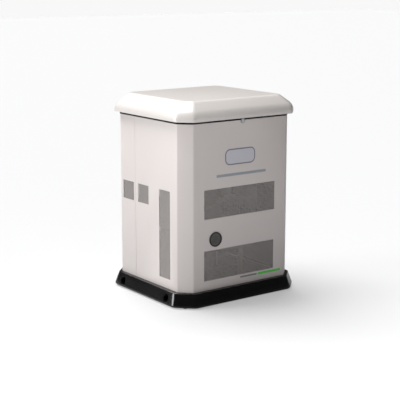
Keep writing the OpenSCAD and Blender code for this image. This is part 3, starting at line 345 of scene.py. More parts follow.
def soften(piece, angle=35):
    nothing_selected()
    piece.select_set(True)
    bpy.context.view_layer.objects.active = piece
    bpy.ops.object.shade_smooth_by_angle(angle=math.radians(angle))
    nothing_selected()


def settle(piece, material, body, slot, *stands_for):
    """Gives a finished piece its body, the CAD nodes that it stands for and its material, unless it
    has its own already. The slot is not used."""
    if material:
        piece.data.materials.clear()
        piece.data.materials.append(material)
    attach(piece, body)
    if stands_for:
        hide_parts(*stands_for)


base_low, base_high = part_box("base_tray")
base_corner = 0.080
base_foot = 0.005
base_rim = 0.012
base_ledge_in = 0.018
base_bend = 0.012
base_edge = 0.0035
under_side = (0.984, 0.982, 1)
lift_radius = 0.019
lift_gap = 0.380
foot_half = 0.045
foot_inset = 0.092
foot_edge = 0.0015

base_plastic = finish("black_base_plastic", linear(6, 6, 7), linear(11, 11, 13),
                      roughness=0.17, roughness_spread=0.08, grain_size=420.0, grain_depth=0.05,
                      drift_size=9.0, drift=0.5, dust=0.02)
base = box_piece("base_moulding", (base_low.x, base_low.y, base_foot),
                 (base_high.x, base_high.y, base_rim))
chamfer_corners(base, base_corner)
select_faces(base, lambda middle, normal: normal.z > 0.9)
ledge = (base_high.x - base_ledge_in) / base_high.x, (base_high.y - base_ledge_in) / base_high.y, 1
bpy.ops.mesh.extrude_region_move(TRANSFORM_OT_translate={"value": (0, 0, base_high.z - base_rim)})
bpy.ops.transform.resize(value=ledge, center_override=(0, 0, base_high.z))
bpy.ops.object.mode_set(mode="OBJECT")
select_faces(base, lambda middle, normal: normal.z < -0.9)
bpy.ops.transform.resize(value=under_side, center_override=(0, 0, base_foot))
bpy.ops.object.mode_set(mode="OBJECT")
round_edges(base, base_bend, 4, lambda middle, direction: abs(direction.z) > 0.5)
round_edges(base, base_edge, 3, lambda middle, direction: middle.z > base_high.z - 0.001
            or abs(middle.z - base_rim) < 0.001)
for side in (-1, 1):
    cut_away(base, rod_piece("tunnel", lift_radius, (-1, side * lift_gap / 2, base_high.z / 2),
                             (1, side * lift_gap / 2, base_high.z / 2)))
feet = []
for side_x in (-1, 1):
    for side_y in (-1, 1):
        foot_x = side_x * (base_high.x - foot_inset)
        foot_y = side_y * (base_high.y - foot_inset)
        foot = box_piece("foot", (foot_x - foot_half, foot_y - foot_half, 0),
                         (foot_x + foot_half, foot_y + foot_half, base_foot + 0.004))
        round_edges(foot, foot_edge, 2)
        feet.append(foot)
joined(base, *feet)
soften(base)
settle(base, base_plastic, "root", "base_black", "base_tray")


# ---------------------------------------------------------------------------------------------
# Enclosure sheets. Two covers of folded 1.5 mm steel, powder coated beige, one round the front and
# one round the rear, and black on the inside as painted shade for the dark inside of the enclosure.
# The corners are bent to flats, and a narrow fold runs round every edge, which the screws of the
# seams and of the base go through.
sheet = 0.0015
fold = 0.014
corner_flat = 0.056
bend_radius = 0.0045
fold_radius = 0.0018
front_low, front_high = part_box("front_panel")
rear_low, rear_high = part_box("rear_panel")

powder_coat = finish("beige_powder_coat", linear(203, 196, 193), linear(196, 190, 188),
                     roughness=0.42, roughness_spread=0.1, grain_size=520.0, grain_depth=0.09,
                     drift_size=3.0, drift=0.5, dust=0.12)

# Black for the insides of the sheets and roof and for the side baffles: painted shade for the dark
# inside and the gap under the lip.
inside_black_painted_shade = finish("inside_black_painted_shade", linear(38, 38, 39), linear(50, 50, 50), roughness=0.85,
                      roughness_spread=0.08, grain_size=900.0, grain_depth=0.8,
                      drift_size=14.0, drift=0.6, dust=0.1)


def plates_of(node, merge_within=1e-5):
    """The corner boxes of a CAD node's separate plates."""
    mesh = bmesh.new()
    mesh.from_mesh(nodes[node].data)
    bmesh.ops.remove_doubles(mesh, verts=mesh.verts, dist=merge_within)
    left = set(mesh.verts)
    boxes = []
    while left:
        reached = [left.pop()]
        corners = [reached[0].co.copy()]
        while reached:
            for edge in reached.pop().link_edges:
                for vert in edge.verts:
                    if vert in left:
                        left.remove(vert)
                        reached.append(vert)
                        corners.append(vert.co.copy())
        boxes.append((Vector([min(c[i] for c in corners) for i in range(3)]),
                      Vector([max(c[i] for c in corners) for i in range(3)])))
    mesh.free()
    return sorted(boxes, key=lambda b: tuple(round(n, 3) for n in (*b[0], *b[1])))


def window_cutter(plate_low, plate_high, lap):
    """A box through the sheet in front of a screen's plate, smaller than the plate by its lap."""
    low, high = plate_low.copy(), plate_high.copy()
    past_sheet = 0.02
    thin = 1 if high.y - low.y < high.x - low.x else 0
    for axis in range(3):
        way = past_sheet if axis == thin else -lap
        low[axis] -= way
        high[axis] += way
    return box_piece("window", low, high)


def cover(name, keep_side, seam_y):
    """The sheets' outline from the base to the roof, folded at its ends and cut at the seam."""
    piece = box_piece(name, (front_low.x, front_low.y, front_low.z),
                      (front_high.x, rear_high.y, front_high.z))
    piece.data.materials.append(powder_coat)
    piece.data.materials.append(inside_black_painted_shade)
    chamfer_corners(piece, corner_flat)
    round_edges(piece, bend_radius, 4, upright)
    round_edges(piece, fold_radius, 2, lambda middle, direction: abs(direction.z) < 0.01
                and (middle.z < front_low.z + 1e-4 or middle.z > front_high.z - 1e-4))
    select_faces(piece, lambda middle, normal: abs(normal.z) > 0.99)
    bpy.ops.mesh.inset(thickness=fold)
    bpy.ops.mesh.delete(type="FACE")
    bpy.ops.mesh.select_all(action="SELECT")
    bpy.ops.mesh.bisect(plane_co=(0, seam_y, 0), plane_no=(0, keep_side, 0), clear_inner=True)
    bpy.ops.object.mode_set(mode="OBJECT")
    for side in (-1, 1):
        select_edges(piece, lambda middle, direction: abs(middle.y - seam_y) < 1e-4
                     and side * middle.x > front_high.x - 0.001 and upright(middle, direction))
        bpy.ops.mesh.extrude_region_move(TRANSFORM_OT_translate={"value": (-side * fold, 0, 0)})
        bpy.ops.object.mode_set(mode="OBJECT")
    bpy.ops.object.mode_set(mode="EDIT")
    bpy.ops.mesh.select_all(action="SELECT")
    bpy.ops.mesh.remove_doubles(threshold=2e-5)
    bpy.ops.mesh.normals_make_consistent(inside=False)
    bpy.ops.object.mode_set(mode="OBJECT")
    wall = piece.modifiers.new("wall", "SOLIDIFY")
    wall.thickness = sheet
    wall.offset = -1
    wall.use_even_offset = True
    wall.material_offset = 1
    bpy.ops.object.modifier_apply(modifier="wall")
    return piece


screen_lap = 0.008
front_plates = plates_of("front_screens")
rear_plates = plates_of("rear_screens")
front_cover = cover("front_cover", -1, front_high.y)
rear_cover = cover("rear_cover", 1, rear_low.y)
for plate in front_plates:
    cut_away(front_cover, window_cutter(*plate, screen_lap))
for plate in rear_plates:
    cut_away(rear_cover, window_cutter(*plate, screen_lap))

# The outlet, the lock, the gas inlet and the conduit gland each have a round hole in the sheet.
sheet_holes = ((front_cover, "exhaust_outlet", 0.0304), (front_cover, "lock_housing", 0.0094),
               (rear_cover, "fuel_inlet", 0.0144), (rear_cover, "conduit_gland", 0.0214))
for panel, fitting, radius in sheet_holes:
    low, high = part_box(fitting)
    middle = (low + high) / 2
    edge_y = front_low.y if panel is front_cover else rear_high.y
    cut_away(panel, rod_piece("hole", radius, (middle.x, edge_y - 0.008, middle.z),
                              (middle.x, edge_y + 0.008, middle.z)))
for panel, node in ((front_cover, "front_panel"), (rear_cover, "rear_panel")):
    soften(panel, 30)
    settle(panel, None, "root", "beige_paint", node)

# ---------------------------------------------------------------------------------------------
# Air screens. Perforated steel behind each window, coated with the same beige paint but darker here
# as painted shade, and spot welded by its edge. The punched holes stand in rows, each row half a
# step along from the last, and each side screen carries a sound baffle, black as painted shade,
# that lets the air round its two upright edges.
screen_thick = 0.0012
hole_step = 0.007
hole_width = 0.0058
row_step = hole_step * math.sqrt(3) / 2
baffle_bend = 0.003
# The screens' beige is darker than the sheets' beige as painted shade.
screen_beige_painted_shade = finish("screen_beige_painted_shade", linear(184, 178, 175), linear(164, 159, 157),
                      roughness=0.5, roughness_spread=0.12, grain_size=700.0, grain_depth=0.08,
                      drift_size=12.0, drift=0.4, dust=0.1)


def punched_plate(name, plate_low, plate_high):
    """A perforated plate on the outer side of the space between two corners, across X or Y."""
    size = plate_high - plate_low
    middle = (plate_low + plate_high) / 2
    across_y = size.y < size.x
    width, height = (size.x if across_y else size.y), size.z
    deep = 1 if across_y else 0
    outwards = math.copysign(1, middle[deep])
    middle[deep] += outwards * (size[deep] - screen_thick) / 2
    nothing_selected()
    bpy.ops.mesh.primitive_circle_add(vertices=12, radius=hole_step / math.sqrt(3))
    piece = bpy.context.object
    piece.name = name
    bpy.ops.object.mode_set(mode="EDIT")
    bpy.ops.mesh.select_mode(type="VERT")
    mesh = bmesh.from_edit_mesh(piece.data)
    for vert in mesh.verts:
        vert.select_set(round(math.degrees(math.atan2(vert.co.y, vert.co.x))) % 60 == 0)
    mesh.select_flush_mode()
    bmesh.update_edit_mesh(piece.data)
    bpy.ops.transform.resize(value=(math.sqrt(3) / 2,) * 3, center_override=(0, 0, 0))
    bpy.ops.mesh.primitive_circle_add(vertices=12, radius=hole_width / 2)
    bpy.ops.mesh.select_mode(type="EDGE")
    bpy.ops.mesh.select_all(action="SELECT")
    bpy.ops.mesh.bridge_edge_loops()
    bpy.ops.mesh.select_all(action="SELECT")
    bpy.ops.mesh.duplicate_move(TRANSFORM_OT_translate={"value": (hole_step / 2, row_step, 0)})
    bpy.ops.object.mode_set(mode="OBJECT")
    columns = math.ceil(width / hole_step) + 2
    rows = math.ceil(height / (2 * row_step)) + 2
    for label, count, step in (("along", columns, (hole_step, 0, 0)),
                               ("up", rows, (0, 2 * row_step, 0))):
        repeat = piece.modifiers.new(label, "ARRAY")
        repeat.count = count
        repeat.use_relative_offset = False
        repeat.use_constant_offset = True
        repeat.constant_offset_displace = step
        bpy.ops.object.modifier_apply(modifier=label)
    start = Vector((-columns * hole_step / 2, -rows * row_step, 0))
    bpy.ops.object.mode_set(mode="EDIT")
    bpy.ops.mesh.select_all(action="SELECT")
    bpy.ops.transform.translate(value=start)
    bpy.ops.mesh.remove_doubles(threshold=1e-5)
    for normal in ((1, 0, 0), (-1, 0, 0), (0, 1, 0), (0, -1, 0)):
        edge = (normal[0] * width / 2, normal[1] * height / 2, 0)
        bpy.ops.mesh.select_all(action="SELECT")
        bpy.ops.mesh.bisect(plane_co=edge, plane_no=normal, clear_outer=True)
    bpy.ops.mesh.select_all(action="SELECT")
    bpy.ops.mesh.normals_make_consistent(inside=False)
    bpy.ops.object.mode_set(mode="OBJECT")
    wall = piece.modifiers.new("wall", "SOLIDIFY")
    wall.thickness = screen_thick
    wall.offset = 0
    bpy.ops.object.modifier_apply(modifier="wall")
    piece.rotation_euler = (math.pi / 2, 0, 0 if across_y else math.pi / 2)
    piece.location = middle
    bpy.ops.object.transform_apply(location=True, rotation=True, scale=True)
    return piece


def sound_baffle(name, plate_low, plate_high):
    """The plate behind a side screen with its two joggled ends, which are welded to the screen."""
    inwards = -math.copysign(1, plate_low.x)
    screen_side = plate_low.x if inwards > 0 else plate_high.x
    low, high = plate_low.copy(), plate_high.copy()
    if inwards > 0:
        low.x = screen_side + screen_thick
    else:
        high.x = screen_side - screen_thick
    piece = box_piece(name, low, high)
    select_faces(piece, lambda middle, normal: abs(normal.y) > 0.9 or normal.x * inwards < -0.9)
    bpy.ops.mesh.delete(type="FACE")
    bpy.ops.object.mode_set(mode="OBJECT")
    round_edges(piece, baffle_bend, 3, lambda middle, direction: abs(direction.y) > 0.9
                and inwards * (middle.x - (high.x if inwards > 0 else low.x)) > -1e-4)
    wall = piece.modifiers.new("wall", "SOLIDIFY")
    wall.thickness = screen_thick
    wall.offset = -1
    wall.use_even_offset = True
    bpy.ops.object.modifier_apply(modifier="wall")
    soften(piece)
    return piece


for prefix, node, plates in (("front", "front_screens", front_plates),
                             ("rear", "rear_screens", rear_plates)):
    for number, (plate_low, plate_high) in enumerate(plates, 1):
        screen = punched_plate(f"{prefix}_screen_{number}", plate_low, plate_high)
        settle(screen, screen_beige_painted_shade, "root", "screen_steel", node)
        if plate_high.x - plate_low.x < plate_high.y - plate_low.y:
            # The baffle is black as painted shade behind the side screen.
            baffle = sound_baffle(f"{prefix}_baffle_{number}", plate_low, plate_high)
            settle(baffle, inside_black_painted_shade, "root", "screen_steel", node)
nothing_selected()

# ---------------------------------------------------------------------------------------------
# Roof. A pressed cover with an upright lip, a sloping edge and a flat top, all its corners soft,
# in a glossier coat than the sheets. It is open below, and it swings on the two rear hinges.
lip_height = 0.036
roof_flat = 0.062
roof_top_flat = 0.028
slope_in = (0.072, 0.062)
roof_wall = 0.002
roof_bend = 0.023
roof_low, roof_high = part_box("roof_shell")
roof_coat = finish("roof_gloss_coat", linear(207, 202, 198), linear(201, 196, 193), coat=0.35,
                   roughness=0.28, roughness_spread=0.08, grain_size=420.0, grain_depth=0.06,
                   drift_size=2.5, drift=0.5, dust=0.1)
roof = box_piece("roof_cover", roof_low, (roof_high.x, roof_high.y, roof_low.z + lip_height))
chamfer_corners(roof, roof_flat)
select_faces(roof, lambda middle, normal: normal.z > 0.9)
bpy.ops.mesh.extrude_region_move(
    TRANSFORM_OT_translate={"value": (0, 0, roof_high.z - roof_low.z - lip_height)})
bpy.ops.transform.resize(center_override=(0, 0, roof_high.z), value=(
    1 - slope_in[0] / roof_high.x, 1 - slope_in[1] / roof_high.y, 1))
bpy.ops.object.mode_set(mode="OBJECT")
top_half = (roof_high.x - slope_in[0], roof_high.y - slope_in[1])
for across, along in ((0, 1), (1, 0)):
    select_edges(roof, lambda middle, direction: middle.z > roof_high.z - 1e-4
                 and abs(abs(middle[across]) - top_half[across]) < 1e-4)
    corner_now = top_half[along] * roof_flat / roof_high[along]
    squeeze = [1, 1, 1]
    squeeze[along] = (top_half[along] - roof_top_flat) / (top_half[along] - corner_now)
    bpy.ops.transform.resize(value=squeeze, center_override=(0, 0, roof_high.z))
    bpy.ops.object.mode_set(mode="OBJECT")
for share, wanted in (
        (1.0, lambda middle, direction: abs(middle.z - roof_low.z - lip_height) < 1e-4),
        (0.5, lambda middle, direction: middle.z > roof_high.z - 1e-4),
        (0.5, lambda middle, direction: abs(direction.z) > 0.3)):
    select_edges(roof, wanted)
    bpy.ops.transform.edge_bevelweight(value=share)
    bpy.ops.object.mode_set(mode="OBJECT")
soft = roof.modifiers.new("soft", "BEVEL")
soft.limit_method = "WEIGHT"
soft.width = roof_bend
soft.segments = 6
bpy.ops.object.modifier_apply(modifier="soft")
select_faces(roof, lambda middle, normal: normal.z < -0.99)
bpy.ops.mesh.delete(type="FACE")
bpy.ops.object.mode_set(mode="OBJECT")
roof.data.materials.append(roof_coat)
# The roof's underside is black as painted shade, so that the gap under the lip looks dark.
roof.data.materials.append(inside_black_painted_shade)
roof_thickness = roof.modifiers.new("wall", "SOLIDIFY")
roof_thickness.thickness = roof_wall
roof_thickness.offset = -1
roof_thickness.use_even_offset = True
roof_thickness.material_offset = 1
bpy.ops.object.modifier_apply(modifier="wall")
soften(roof, 32)
settle(roof, None, "roof", "roof_paint", "roof_shell")

# ---------------------------------------------------------------------------------------------
# Lip shadow strip. A black band round the outside of the sheets, just under the roof's lip, as
# painted shadow for the dark line in the gap under the lip. It is cut away at the lock and hinges.
strip_proud = 0.0025
strip_height = 0.012
strip_under_lip = 0.0005
strip_edge = 0.001
strip_gap = 0.001
strip_reach = 0.01
# Black as painted shadow: the dark line in the gap under the roof's lip.
lip_shadow_black = finish("lip_shadow_paint", linear(16, 16, 17), linear(26, 25, 25), roughness=0.7,
                     roughness_spread=0.1, grain_size=700.0, grain_depth=0.3,
                     drift_size=30.0, drift=0.5, dust=0.1)
strip_top = roof_low.z - strip_under_lip
strip = box_piece("lip_shadow_strip", (front_low.x, front_low.y, strip_top - strip_height),
                  (front_high.x, rear_high.y, strip_top))
chamfer_corners(strip, corner_flat)
round_edges(strip, bend_radius, 4, upright)
select_faces(strip, lambda middle, normal: abs(normal.z) > 0.9)
bpy.ops.mesh.delete(type="FACE")
bpy.ops.object.mode_set(mode="OBJECT")
shadow_band = strip.modifiers.new("shadow_band", "SOLIDIFY")
shadow_band.thickness = strip_proud
shadow_band.offset = 1
shadow_band.use_even_offset = True
bpy.ops.object.modifier_apply(modifier="shadow_band")
round_edges(strip, strip_edge, 2, lambda middle, direction: abs(direction.z) < 0.1)
lock_low, lock_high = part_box("lock_housing")
lock_middle = (lock_low + lock_high) / 2
cut_away(strip, rod_piece("lock_gap", (lock_high.x - lock_low.x) / 2 + strip_gap,
                          (lock_middle.x, front_low.y - strip_reach, lock_middle.z),
                          (lock_middle.x, front_low.y + strip_reach, lock_middle.z)))
for leaf_low, leaf_high in plates_of("hinge_leaves_fixed"):
    cut_away(strip, box_piece(
        "leaf_gap", (leaf_low.x - strip_gap, rear_high.y - strip_reach, leaf_low.z),
        (leaf_high.x + strip_gap, leaf_high.y + strip_reach, leaf_high.z)))
soften(strip)
# The strip's black is painted shadow under the lip.
settle(strip, lip_shadow_black, "root", "rubber")

# ---------------------------------------------------------------------------------------------
# Printed marks. Thin films on the front sheet: a plain rounded badge, one long grey bar below it,
# and a bar of grey and green at the bottom right, none of them with any lettering.
film = 0.0004
second_film = film + 0.0003
front_face = front_low.y


def film_piece(name, middle_x, middle_z, width, height, corner, lift, material, slot):
    """A rounded film on the front sheet, its corners rounded."""
    piece = box_piece(name, (middle_x - width / 2, front_face - lift, middle_z - height / 2),
                      (middle_x + width / 2, front_face + 0.0001, middle_z + height / 2))
    round_edges(piece, corner, 6, lambda middle, direction: abs(direction.y) > 0.99)
    soften(piece, 40)
    settle(piece, material, "root", slot)
    return piece


def film_ink(name, colour, drift_colour):
    return finish(name, colour, drift_colour, roughness=0.38, roughness_spread=0.06,
                  grain_size=900.0, grain_depth=0.05, drift_size=20.0, drift=0.4, dust=0.02)


grey_ink = film_ink("grey_ink", linear(118, 116, 124), linear(130, 128, 136))
pale_ink = film_ink("pale_ink", linear(190, 189, 197), linear(182, 181, 190))
slate_ink = film_ink("slate_ink", linear(146, 153, 158), linear(138, 145, 150))
green_ink = film_ink("green_ink", linear(82, 190, 74), linear(92, 200, 84))
film_piece("badge_rim", -0.004, 0.707, 0.182, 0.078, 0.028, film, grey_ink, "grey_plastic")
film_piece("badge_face", -0.004, 0.707, 0.170, 0.066, 0.022, second_film, pale_ink, "light_plastic")
film_piece("long_bar", 0.0045, 0.6215, 0.300, 0.013, 0.003, film, slate_ink, "grey_plastic")
film_piece("low_bar_grey", 0.053, 0.106, 0.104, 0.009, 0.003, film, grey_ink, "grey_plastic")
film_piece("low_bar_green", 0.182, 0.106, 0.146, 0.012, 0.003, film, green_ink, "green_plastic")


# ---------------------------------------------------------------------------------------------
# Hinges, stay and lock. Zinc-plated steel: two hinges behind the roof, a stay arm that holds it
# open, and a small cylinder lock under the front lip that turns a cam under the roof's hook. The
# hinges' fixed leaves are painted with the rear sheet, and the lock's cylinder is chromed.
def coat_nodes(material, *names):
    """Gives CAD nodes a material in every one of their slots."""
    for name in names:
        piece = nodes[name]
        if not piece.material_slots:
            piece.data.materials.append(material)
        for part in piece.material_slots:
            part.material = material


zinc_plate = finish("zinc_plate", linear(186, 190, 192), linear(160, 160, 150), metallic=0.9,
                    roughness=0.34, roughness_spread=0.22, grain_size=260.0, grain_depth=0.12,
                    drift_size=40.0, drift=0.6, dust=0.15)
lock_chrome = finish("lock_chrome", linear(214, 214, 217), linear(196, 196, 200), metallic=1.0,
                     roughness=0.14, roughness_spread=0.08, grain_size=500.0, grain_depth=0.05,
                     drift_size=60.0, drift=0.3, dust=0.05)
coat_nodes(zinc_plate, "roof_frame", "hinge_leaves_moving", "hinge_pins", "stay_arm", "stay_track",
           "lock_housing", "lock_cam", "panel_screws", "stator_bolts", "debris_screen")
coat_nodes(powder_coat, "hinge_leaves_fixed")
coat_nodes(lock_chrome, "lock_cylinder", "rotor_bearing")

# ---------------------------------------------------------------------------------------------
# Roof lining, seal and rubber mounts. Open-cell acoustic foam glued under the roof, a soft rubber
# strip round the rim that the roof closes on, and the rubber blocks that carry the engine's frame.
moulded_rubber = finish("moulded_rubber", linear(30, 30, 31), linear(46, 45, 44), roughness=0.78,
                        roughness_spread=0.12, grain_size=800.0, grain_depth=0.35,
                        drift_size=30.0, drift=0.5, dust=0.25)
acoustic_foam = finish("acoustic_foam", linear(44, 45, 47), linear(58, 58, 60), roughness=0.95,
                       roughness_spread=0.05, grain_size=1400.0, grain_depth=1.0,
                       drift_size=25.0, drift=0.7, dust=0.1)
coat_nodes(moulded_rubber, "roof_seal", "isolators", "fuel_hose")
coat_nodes(acoustic_foam, "roof_liner")

# ---------------------------------------------------------------------------------------------
# Exhaust outlet. A cast iron grille on the front sheet, with a raised rim, round ribs and two rings
# of holes in the grooves between them, stoved with matt heat-proof paint that greys as it ages.
outlet_low, outlet_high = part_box("exhaust_outlet")
outlet_middle = (outlet_low + outlet_high) / 2
outlet_radius = (outlet_high.x - outlet_low.x) / 2
outlet_proud = front_face - outlet_low.y
sleeve_radius = 0.0296
grille_edge = 0.0006
centre_hole = 0.0026
ring_hole = 0.0023
drill_reach = 0.03
# Each ring of holes: its radius and how many holes
hole_rings = ((0.009, 6), (0.018, 12))
# The grille's steps from its rim inwards: how far each goes in, and then how far up or down
grille_steps = ((0.0055, -0.0042), (0.0025, 0.0022), (0.0070, -0.0022), (0.0056, 0.0026),
                (0.0034, -0.0026), (0.0054, 0.0026))
stove_black = finish("stove_black", linear(34, 34, 34), linear(52, 51, 50), roughness=0.6,
                     roughness_spread=0.18, grain_size=650.0, grain_depth=0.4,
                     drift_size=70.0, drift=0.6, dust=0.1)
faded_grille = finish("faded_grille", linear(88, 87, 85), linear(108, 106, 103), roughness=0.66,
                      roughness_spread=0.18, grain_size=650.0, grain_depth=0.5,
                      drift_size=90.0, drift=0.7, dust=0.1)
nothing_selected()
bpy.ops.mesh.primitive_circle_add(vertices=64, radius=outlet_radius, fill_type="NGON")
outlet = bpy.context.object
outlet.name = "outlet_grille"
bpy.ops.object.mode_set(mode="EDIT")
bpy.ops.mesh.extrude_region_move(TRANSFORM_OT_translate={"value": (0, 0, outlet_proud)})
for inwards, upwards_by in grille_steps:
    bpy.ops.mesh.inset(thickness=inwards)
    bpy.ops.mesh.extrude_region_move(TRANSFORM_OT_translate={"value": (0, 0, upwards_by)})
bpy.ops.mesh.select_all(action="SELECT")
bpy.ops.mesh.normals_make_consistent(inside=False)
bpy.ops.object.mode_set(mode="OBJECT")
select_faces(outlet, lambda middle, normal: normal.z < -0.9 and middle.z < 0.0001)
bpy.ops.mesh.inset(thickness=outlet_radius - sleeve_radius)
bpy.ops.mesh.extrude_region_move(
    TRANSFORM_OT_translate={"value": (0, 0, -(outlet_high.y - front_face))})
bpy.ops.object.mode_set(mode="OBJECT")
eased = outlet.modifiers.new("eased", "BEVEL")
eased.width = grille_edge
eased.segments = 2
eased.limit_method = "ANGLE"
eased.angle_limit = math.radians(50)
bpy.ops.object.modifier_apply(modifier="eased")
outlet.data.materials.append(stove_black)
outlet.data.materials.append(faded_grille)
rim_inside = outlet_radius - grille_steps[0][0]
select_faces(outlet, lambda middle, normal: math.hypot(middle.x, middle.y) < rim_inside - 0.0008
             and normal.z > -0.2 and middle.z > 0.0002)
outlet.active_material_index = 1
bpy.ops.object.material_slot_assign()
bpy.ops.object.mode_set(mode="OBJECT")
drills = [rod_piece("centre_hole", centre_hole, (0, 0, -drill_reach), (0, 0, drill_reach), 16)]
for ring_radius, count in hole_rings:
    for step in range(count):
        angle = 2 * math.pi * step / count
        across, up = ring_radius * math.cos(angle), ring_radius * math.sin(angle)
        drills.append(rod_piece("ring_hole", ring_hole, (across, up, -drill_reach),
                                (across, up, drill_reach), 16))
cut_away(outlet, joined(*drills))
outlet.rotation_euler = (math.pi / 2, 0, 0)
outlet.location = (outlet_middle.x, front_face, outlet_middle.z)
nothing_selected()
outlet.select_set(True)
bpy.context.view_layer.objects.active = outlet
bpy.ops.object.transform_apply(location=True, rotation=True, scale=True)
soften(outlet)
settle(outlet, None, "root", "black_paint", "exhaust_outlet")

# ---------------------------------------------------------------------------------------------
# Frame and pressed covers. Folded steel in satin black paint: the engine's frame, the battery's
# tray, the blower's housing over the flywheel, the valve covers, the starter and the control box.
satin_black = finish("satin_black_paint", linear(34, 34, 35), linear(48, 47, 46), coat=0.15,
                     roughness=0.42, roughness_spread=0.2, grain_size=480.0, grain_depth=0.14,
                     drift_size=14.0, drift=0.6, dust=0.35)
coat_nodes(satin_black, "mounting_frame", "battery_tray", "blower_housing", "valve_covers",
           "starter_motor", "control_box")

# ---------------------------------------------------------------------------------------------
# Castings. The alternator's end bracket, the adapter, crankcase, cylinders, heads, flywheel and
# manifold are aluminium as it left the die, grainy, oiled here and there; the crankshaft is iron.
cast_aluminium = finish("cast_aluminium", linear(150, 152, 154), linear(112, 110, 106),
                        metallic=0.75, roughness=0.5, roughness_spread=0.24, grain_size=420.0,
                        grain_depth=0.55, drift_size=22.0, drift=0.75, dust=0.25)
turned_iron = finish("turned_iron", linear(118, 118, 122), linear(86, 82, 78), metallic=0.85,
                     roughness=0.36, roughness_spread=0.2, grain_size=300.0, grain_depth=0.2,
                     grain_stretch=(1, 1, 9), drift_size=30.0, drift=0.7, dust=0.1)
coat_nodes(cast_aluminium, "end_bracket", "engine_adapter", "crankcase", "cylinders",
           "cylinder_heads", "flywheel", "fuel_mixer", "intake_manifold", "fuel_regulator")
coat_nodes(turned_iron, "crankshaft")

# ---------------------------------------------------------------------------------------------
# Alternator core and windings. Thin varnished steel laminations, stacked so that fine lines run
# round the core, and coils of enamelled copper wire that stand out of both of its ends.
laminations = finish("laminations", linear(104, 106, 112), linear(64, 60, 58), metallic=0.7,
                     roughness=0.46, roughness_spread=0.25, grain_size=500.0, grain_depth=0.8,
                     grain_stretch=(0.02, 0.02, 3), drift_size=18.0, drift=0.6, dust=0.1)
enamelled_copper = finish("enamelled_copper", linear(168, 92, 44), linear(120, 58, 26),
                          metallic=0.85, coat=0.5, roughness=0.3, roughness_spread=0.2,
                          grain_size=340.0, grain_depth=0.9, grain_stretch=(0.3, 0.3, 3),
                          drift_size=60.0, drift=0.6)
coat_nodes(laminations, "stator_core", "rotor")
coat_nodes(enamelled_copper, "stator_windings")

# ---------------------------------------------------------------------------------------------
# Exhaust. Pipes and muffler of aluminised steel, dulled by heat to straw and blue-grey blotches
# that follow no edge.
heated_steel = finish("heated_steel", linear(142, 132, 120), linear(92, 88, 96), metallic=0.8,
                      roughness=0.44, roughness_spread=0.3, grain_size=330.0, grain_depth=0.3,
                      drift_size=11.0, drift=1.0, dust=0.2)
coat_nodes(heated_steel, "exhaust_pipes", "muffler")

# ---------------------------------------------------------------------------------------------
# Small engine parts. The fan and the air cleaner's cover are black glass-filled plastic, the oil
# filter is a gloss white can, the dipstick's grip is yellow, and the element is pleated paper.
filled_plastic = finish("glass_filled_plastic", linear(38, 38, 40), linear(52, 52, 54),
                        roughness=0.56, roughness_spread=0.12, grain_size=750.0, grain_depth=0.3,
                        drift_size=26.0, drift=0.5, dust=0.3)
filter_can = finish("filter_can_gloss", linear(226, 226, 222), linear(206, 204, 198), coat=0.6,
                    roughness=0.28, roughness_spread=0.1, grain_size=260.0, grain_depth=0.08,
                    drift_size=20.0, drift=0.5, dust=0.2)
yellow_grip = finish("yellow_grip", linear(228, 184, 38), linear(206, 160, 26), coat=0.3,
                     roughness=0.38, roughness_spread=0.1, grain_size=500.0, grain_depth=0.1,
                     drift_size=60.0, drift=0.5, dust=0.1)
pleated_paper = finish("pleated_paper", linear(224, 212, 170), linear(196, 180, 134),
                       roughness=0.9, roughness_spread=0.06, grain_size=1500.0, grain_depth=0.5,
                       drift_size=40.0, drift=0.6, dust=0.1)
plug_ceramic = finish("plug_ceramic", linear(236, 232, 224), linear(216, 210, 200), coat=0.8,
                      roughness=0.18, roughness_spread=0.06, grain_size=300.0, grain_depth=0.04,
                      drift_size=90.0, drift=0.4, dust=0.1)
coat_nodes(filled_plastic, "cooling_fan", "air_cleaner_cover", "conduit_gland", "breaker_body")
coat_nodes(filter_can, "oil_filter")
coat_nodes(yellow_grip, "dipstick")
coat_nodes(pleated_paper, "filter_element")
coat_nodes(plug_ceramic, "spark_plugs")

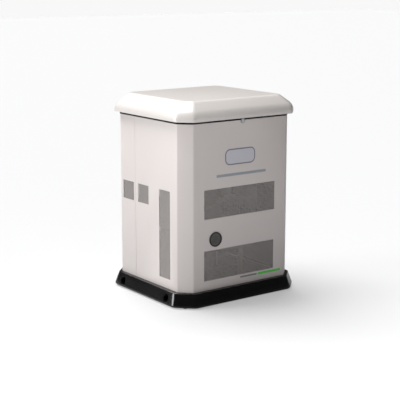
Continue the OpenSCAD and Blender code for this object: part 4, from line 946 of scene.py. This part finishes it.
# ---------------------------------------------------------------------------------------------
# Gas inlet. A turned brass fitting through the rear sheet, a little tarnished, with a hexagon for
# the spanner and a taper thread for the gas pipe.
turned_brass = finish("turned_brass", linear(196, 160, 88), linear(150, 116, 62), metallic=1.0,
                      roughness=0.26, roughness_spread=0.16, grain_size=420.0, grain_depth=0.12,
                      grain_stretch=(1, 6, 1), drift_size=70.0, drift=0.6, dust=0.1)
coat_nodes(turned_brass, "fuel_inlet")

# ---------------------------------------------------------------------------------------------
# Battery and its leads. A polypropylene case that has gone slightly chalky, and soft red-sheathed
# cable from its posts to the starter and the frame.
battery_case = finish("battery_case", linear(36, 37, 41), linear(54, 55, 58), roughness=0.5,
                      roughness_spread=0.14, grain_size=520.0, grain_depth=0.2,
                      drift_size=16.0, drift=0.6, dust=0.4)
cable_sheath = finish("cable_sheath", linear(150, 26, 24), linear(118, 18, 18), roughness=0.46,
                      roughness_spread=0.12, grain_size=600.0, grain_depth=0.15,
                      drift_size=30.0, drift=0.5, dust=0.15)
coat_nodes(battery_case, "battery")
coat_nodes(cable_sheath, "battery_cables")

# ---------------------------------------------------------------------------------------------
# Controls. A grey textured face plate under the roof, with a white rocker, a green push button and
# a breaker whose lever is white.
face_plastic = finish("face_plastic", linear(92, 94, 98), linear(82, 84, 88), roughness=0.6,
                      roughness_spread=0.1, grain_size=1100.0, grain_depth=0.5,
                      drift_size=20.0, drift=0.4, dust=0.15)
white_lever = finish("white_lever", linear(232, 232, 228), linear(216, 214, 208), coat=0.3,
                     roughness=0.34, roughness_spread=0.08, grain_size=600.0, grain_depth=0.06,
                     drift_size=80.0, drift=0.4, dust=0.06)
green_button = finish("green_button", linear(46, 142, 62), linear(34, 120, 50), coat=0.4,
                      roughness=0.3, roughness_spread=0.08, grain_size=600.0, grain_depth=0.06,
                      drift_size=80.0, drift=0.4, dust=0.06)
coat_nodes(face_plastic, "control_face")
coat_nodes(white_lever, "system_switch", "breaker_toggle")
coat_nodes(green_button, "exercise_button")
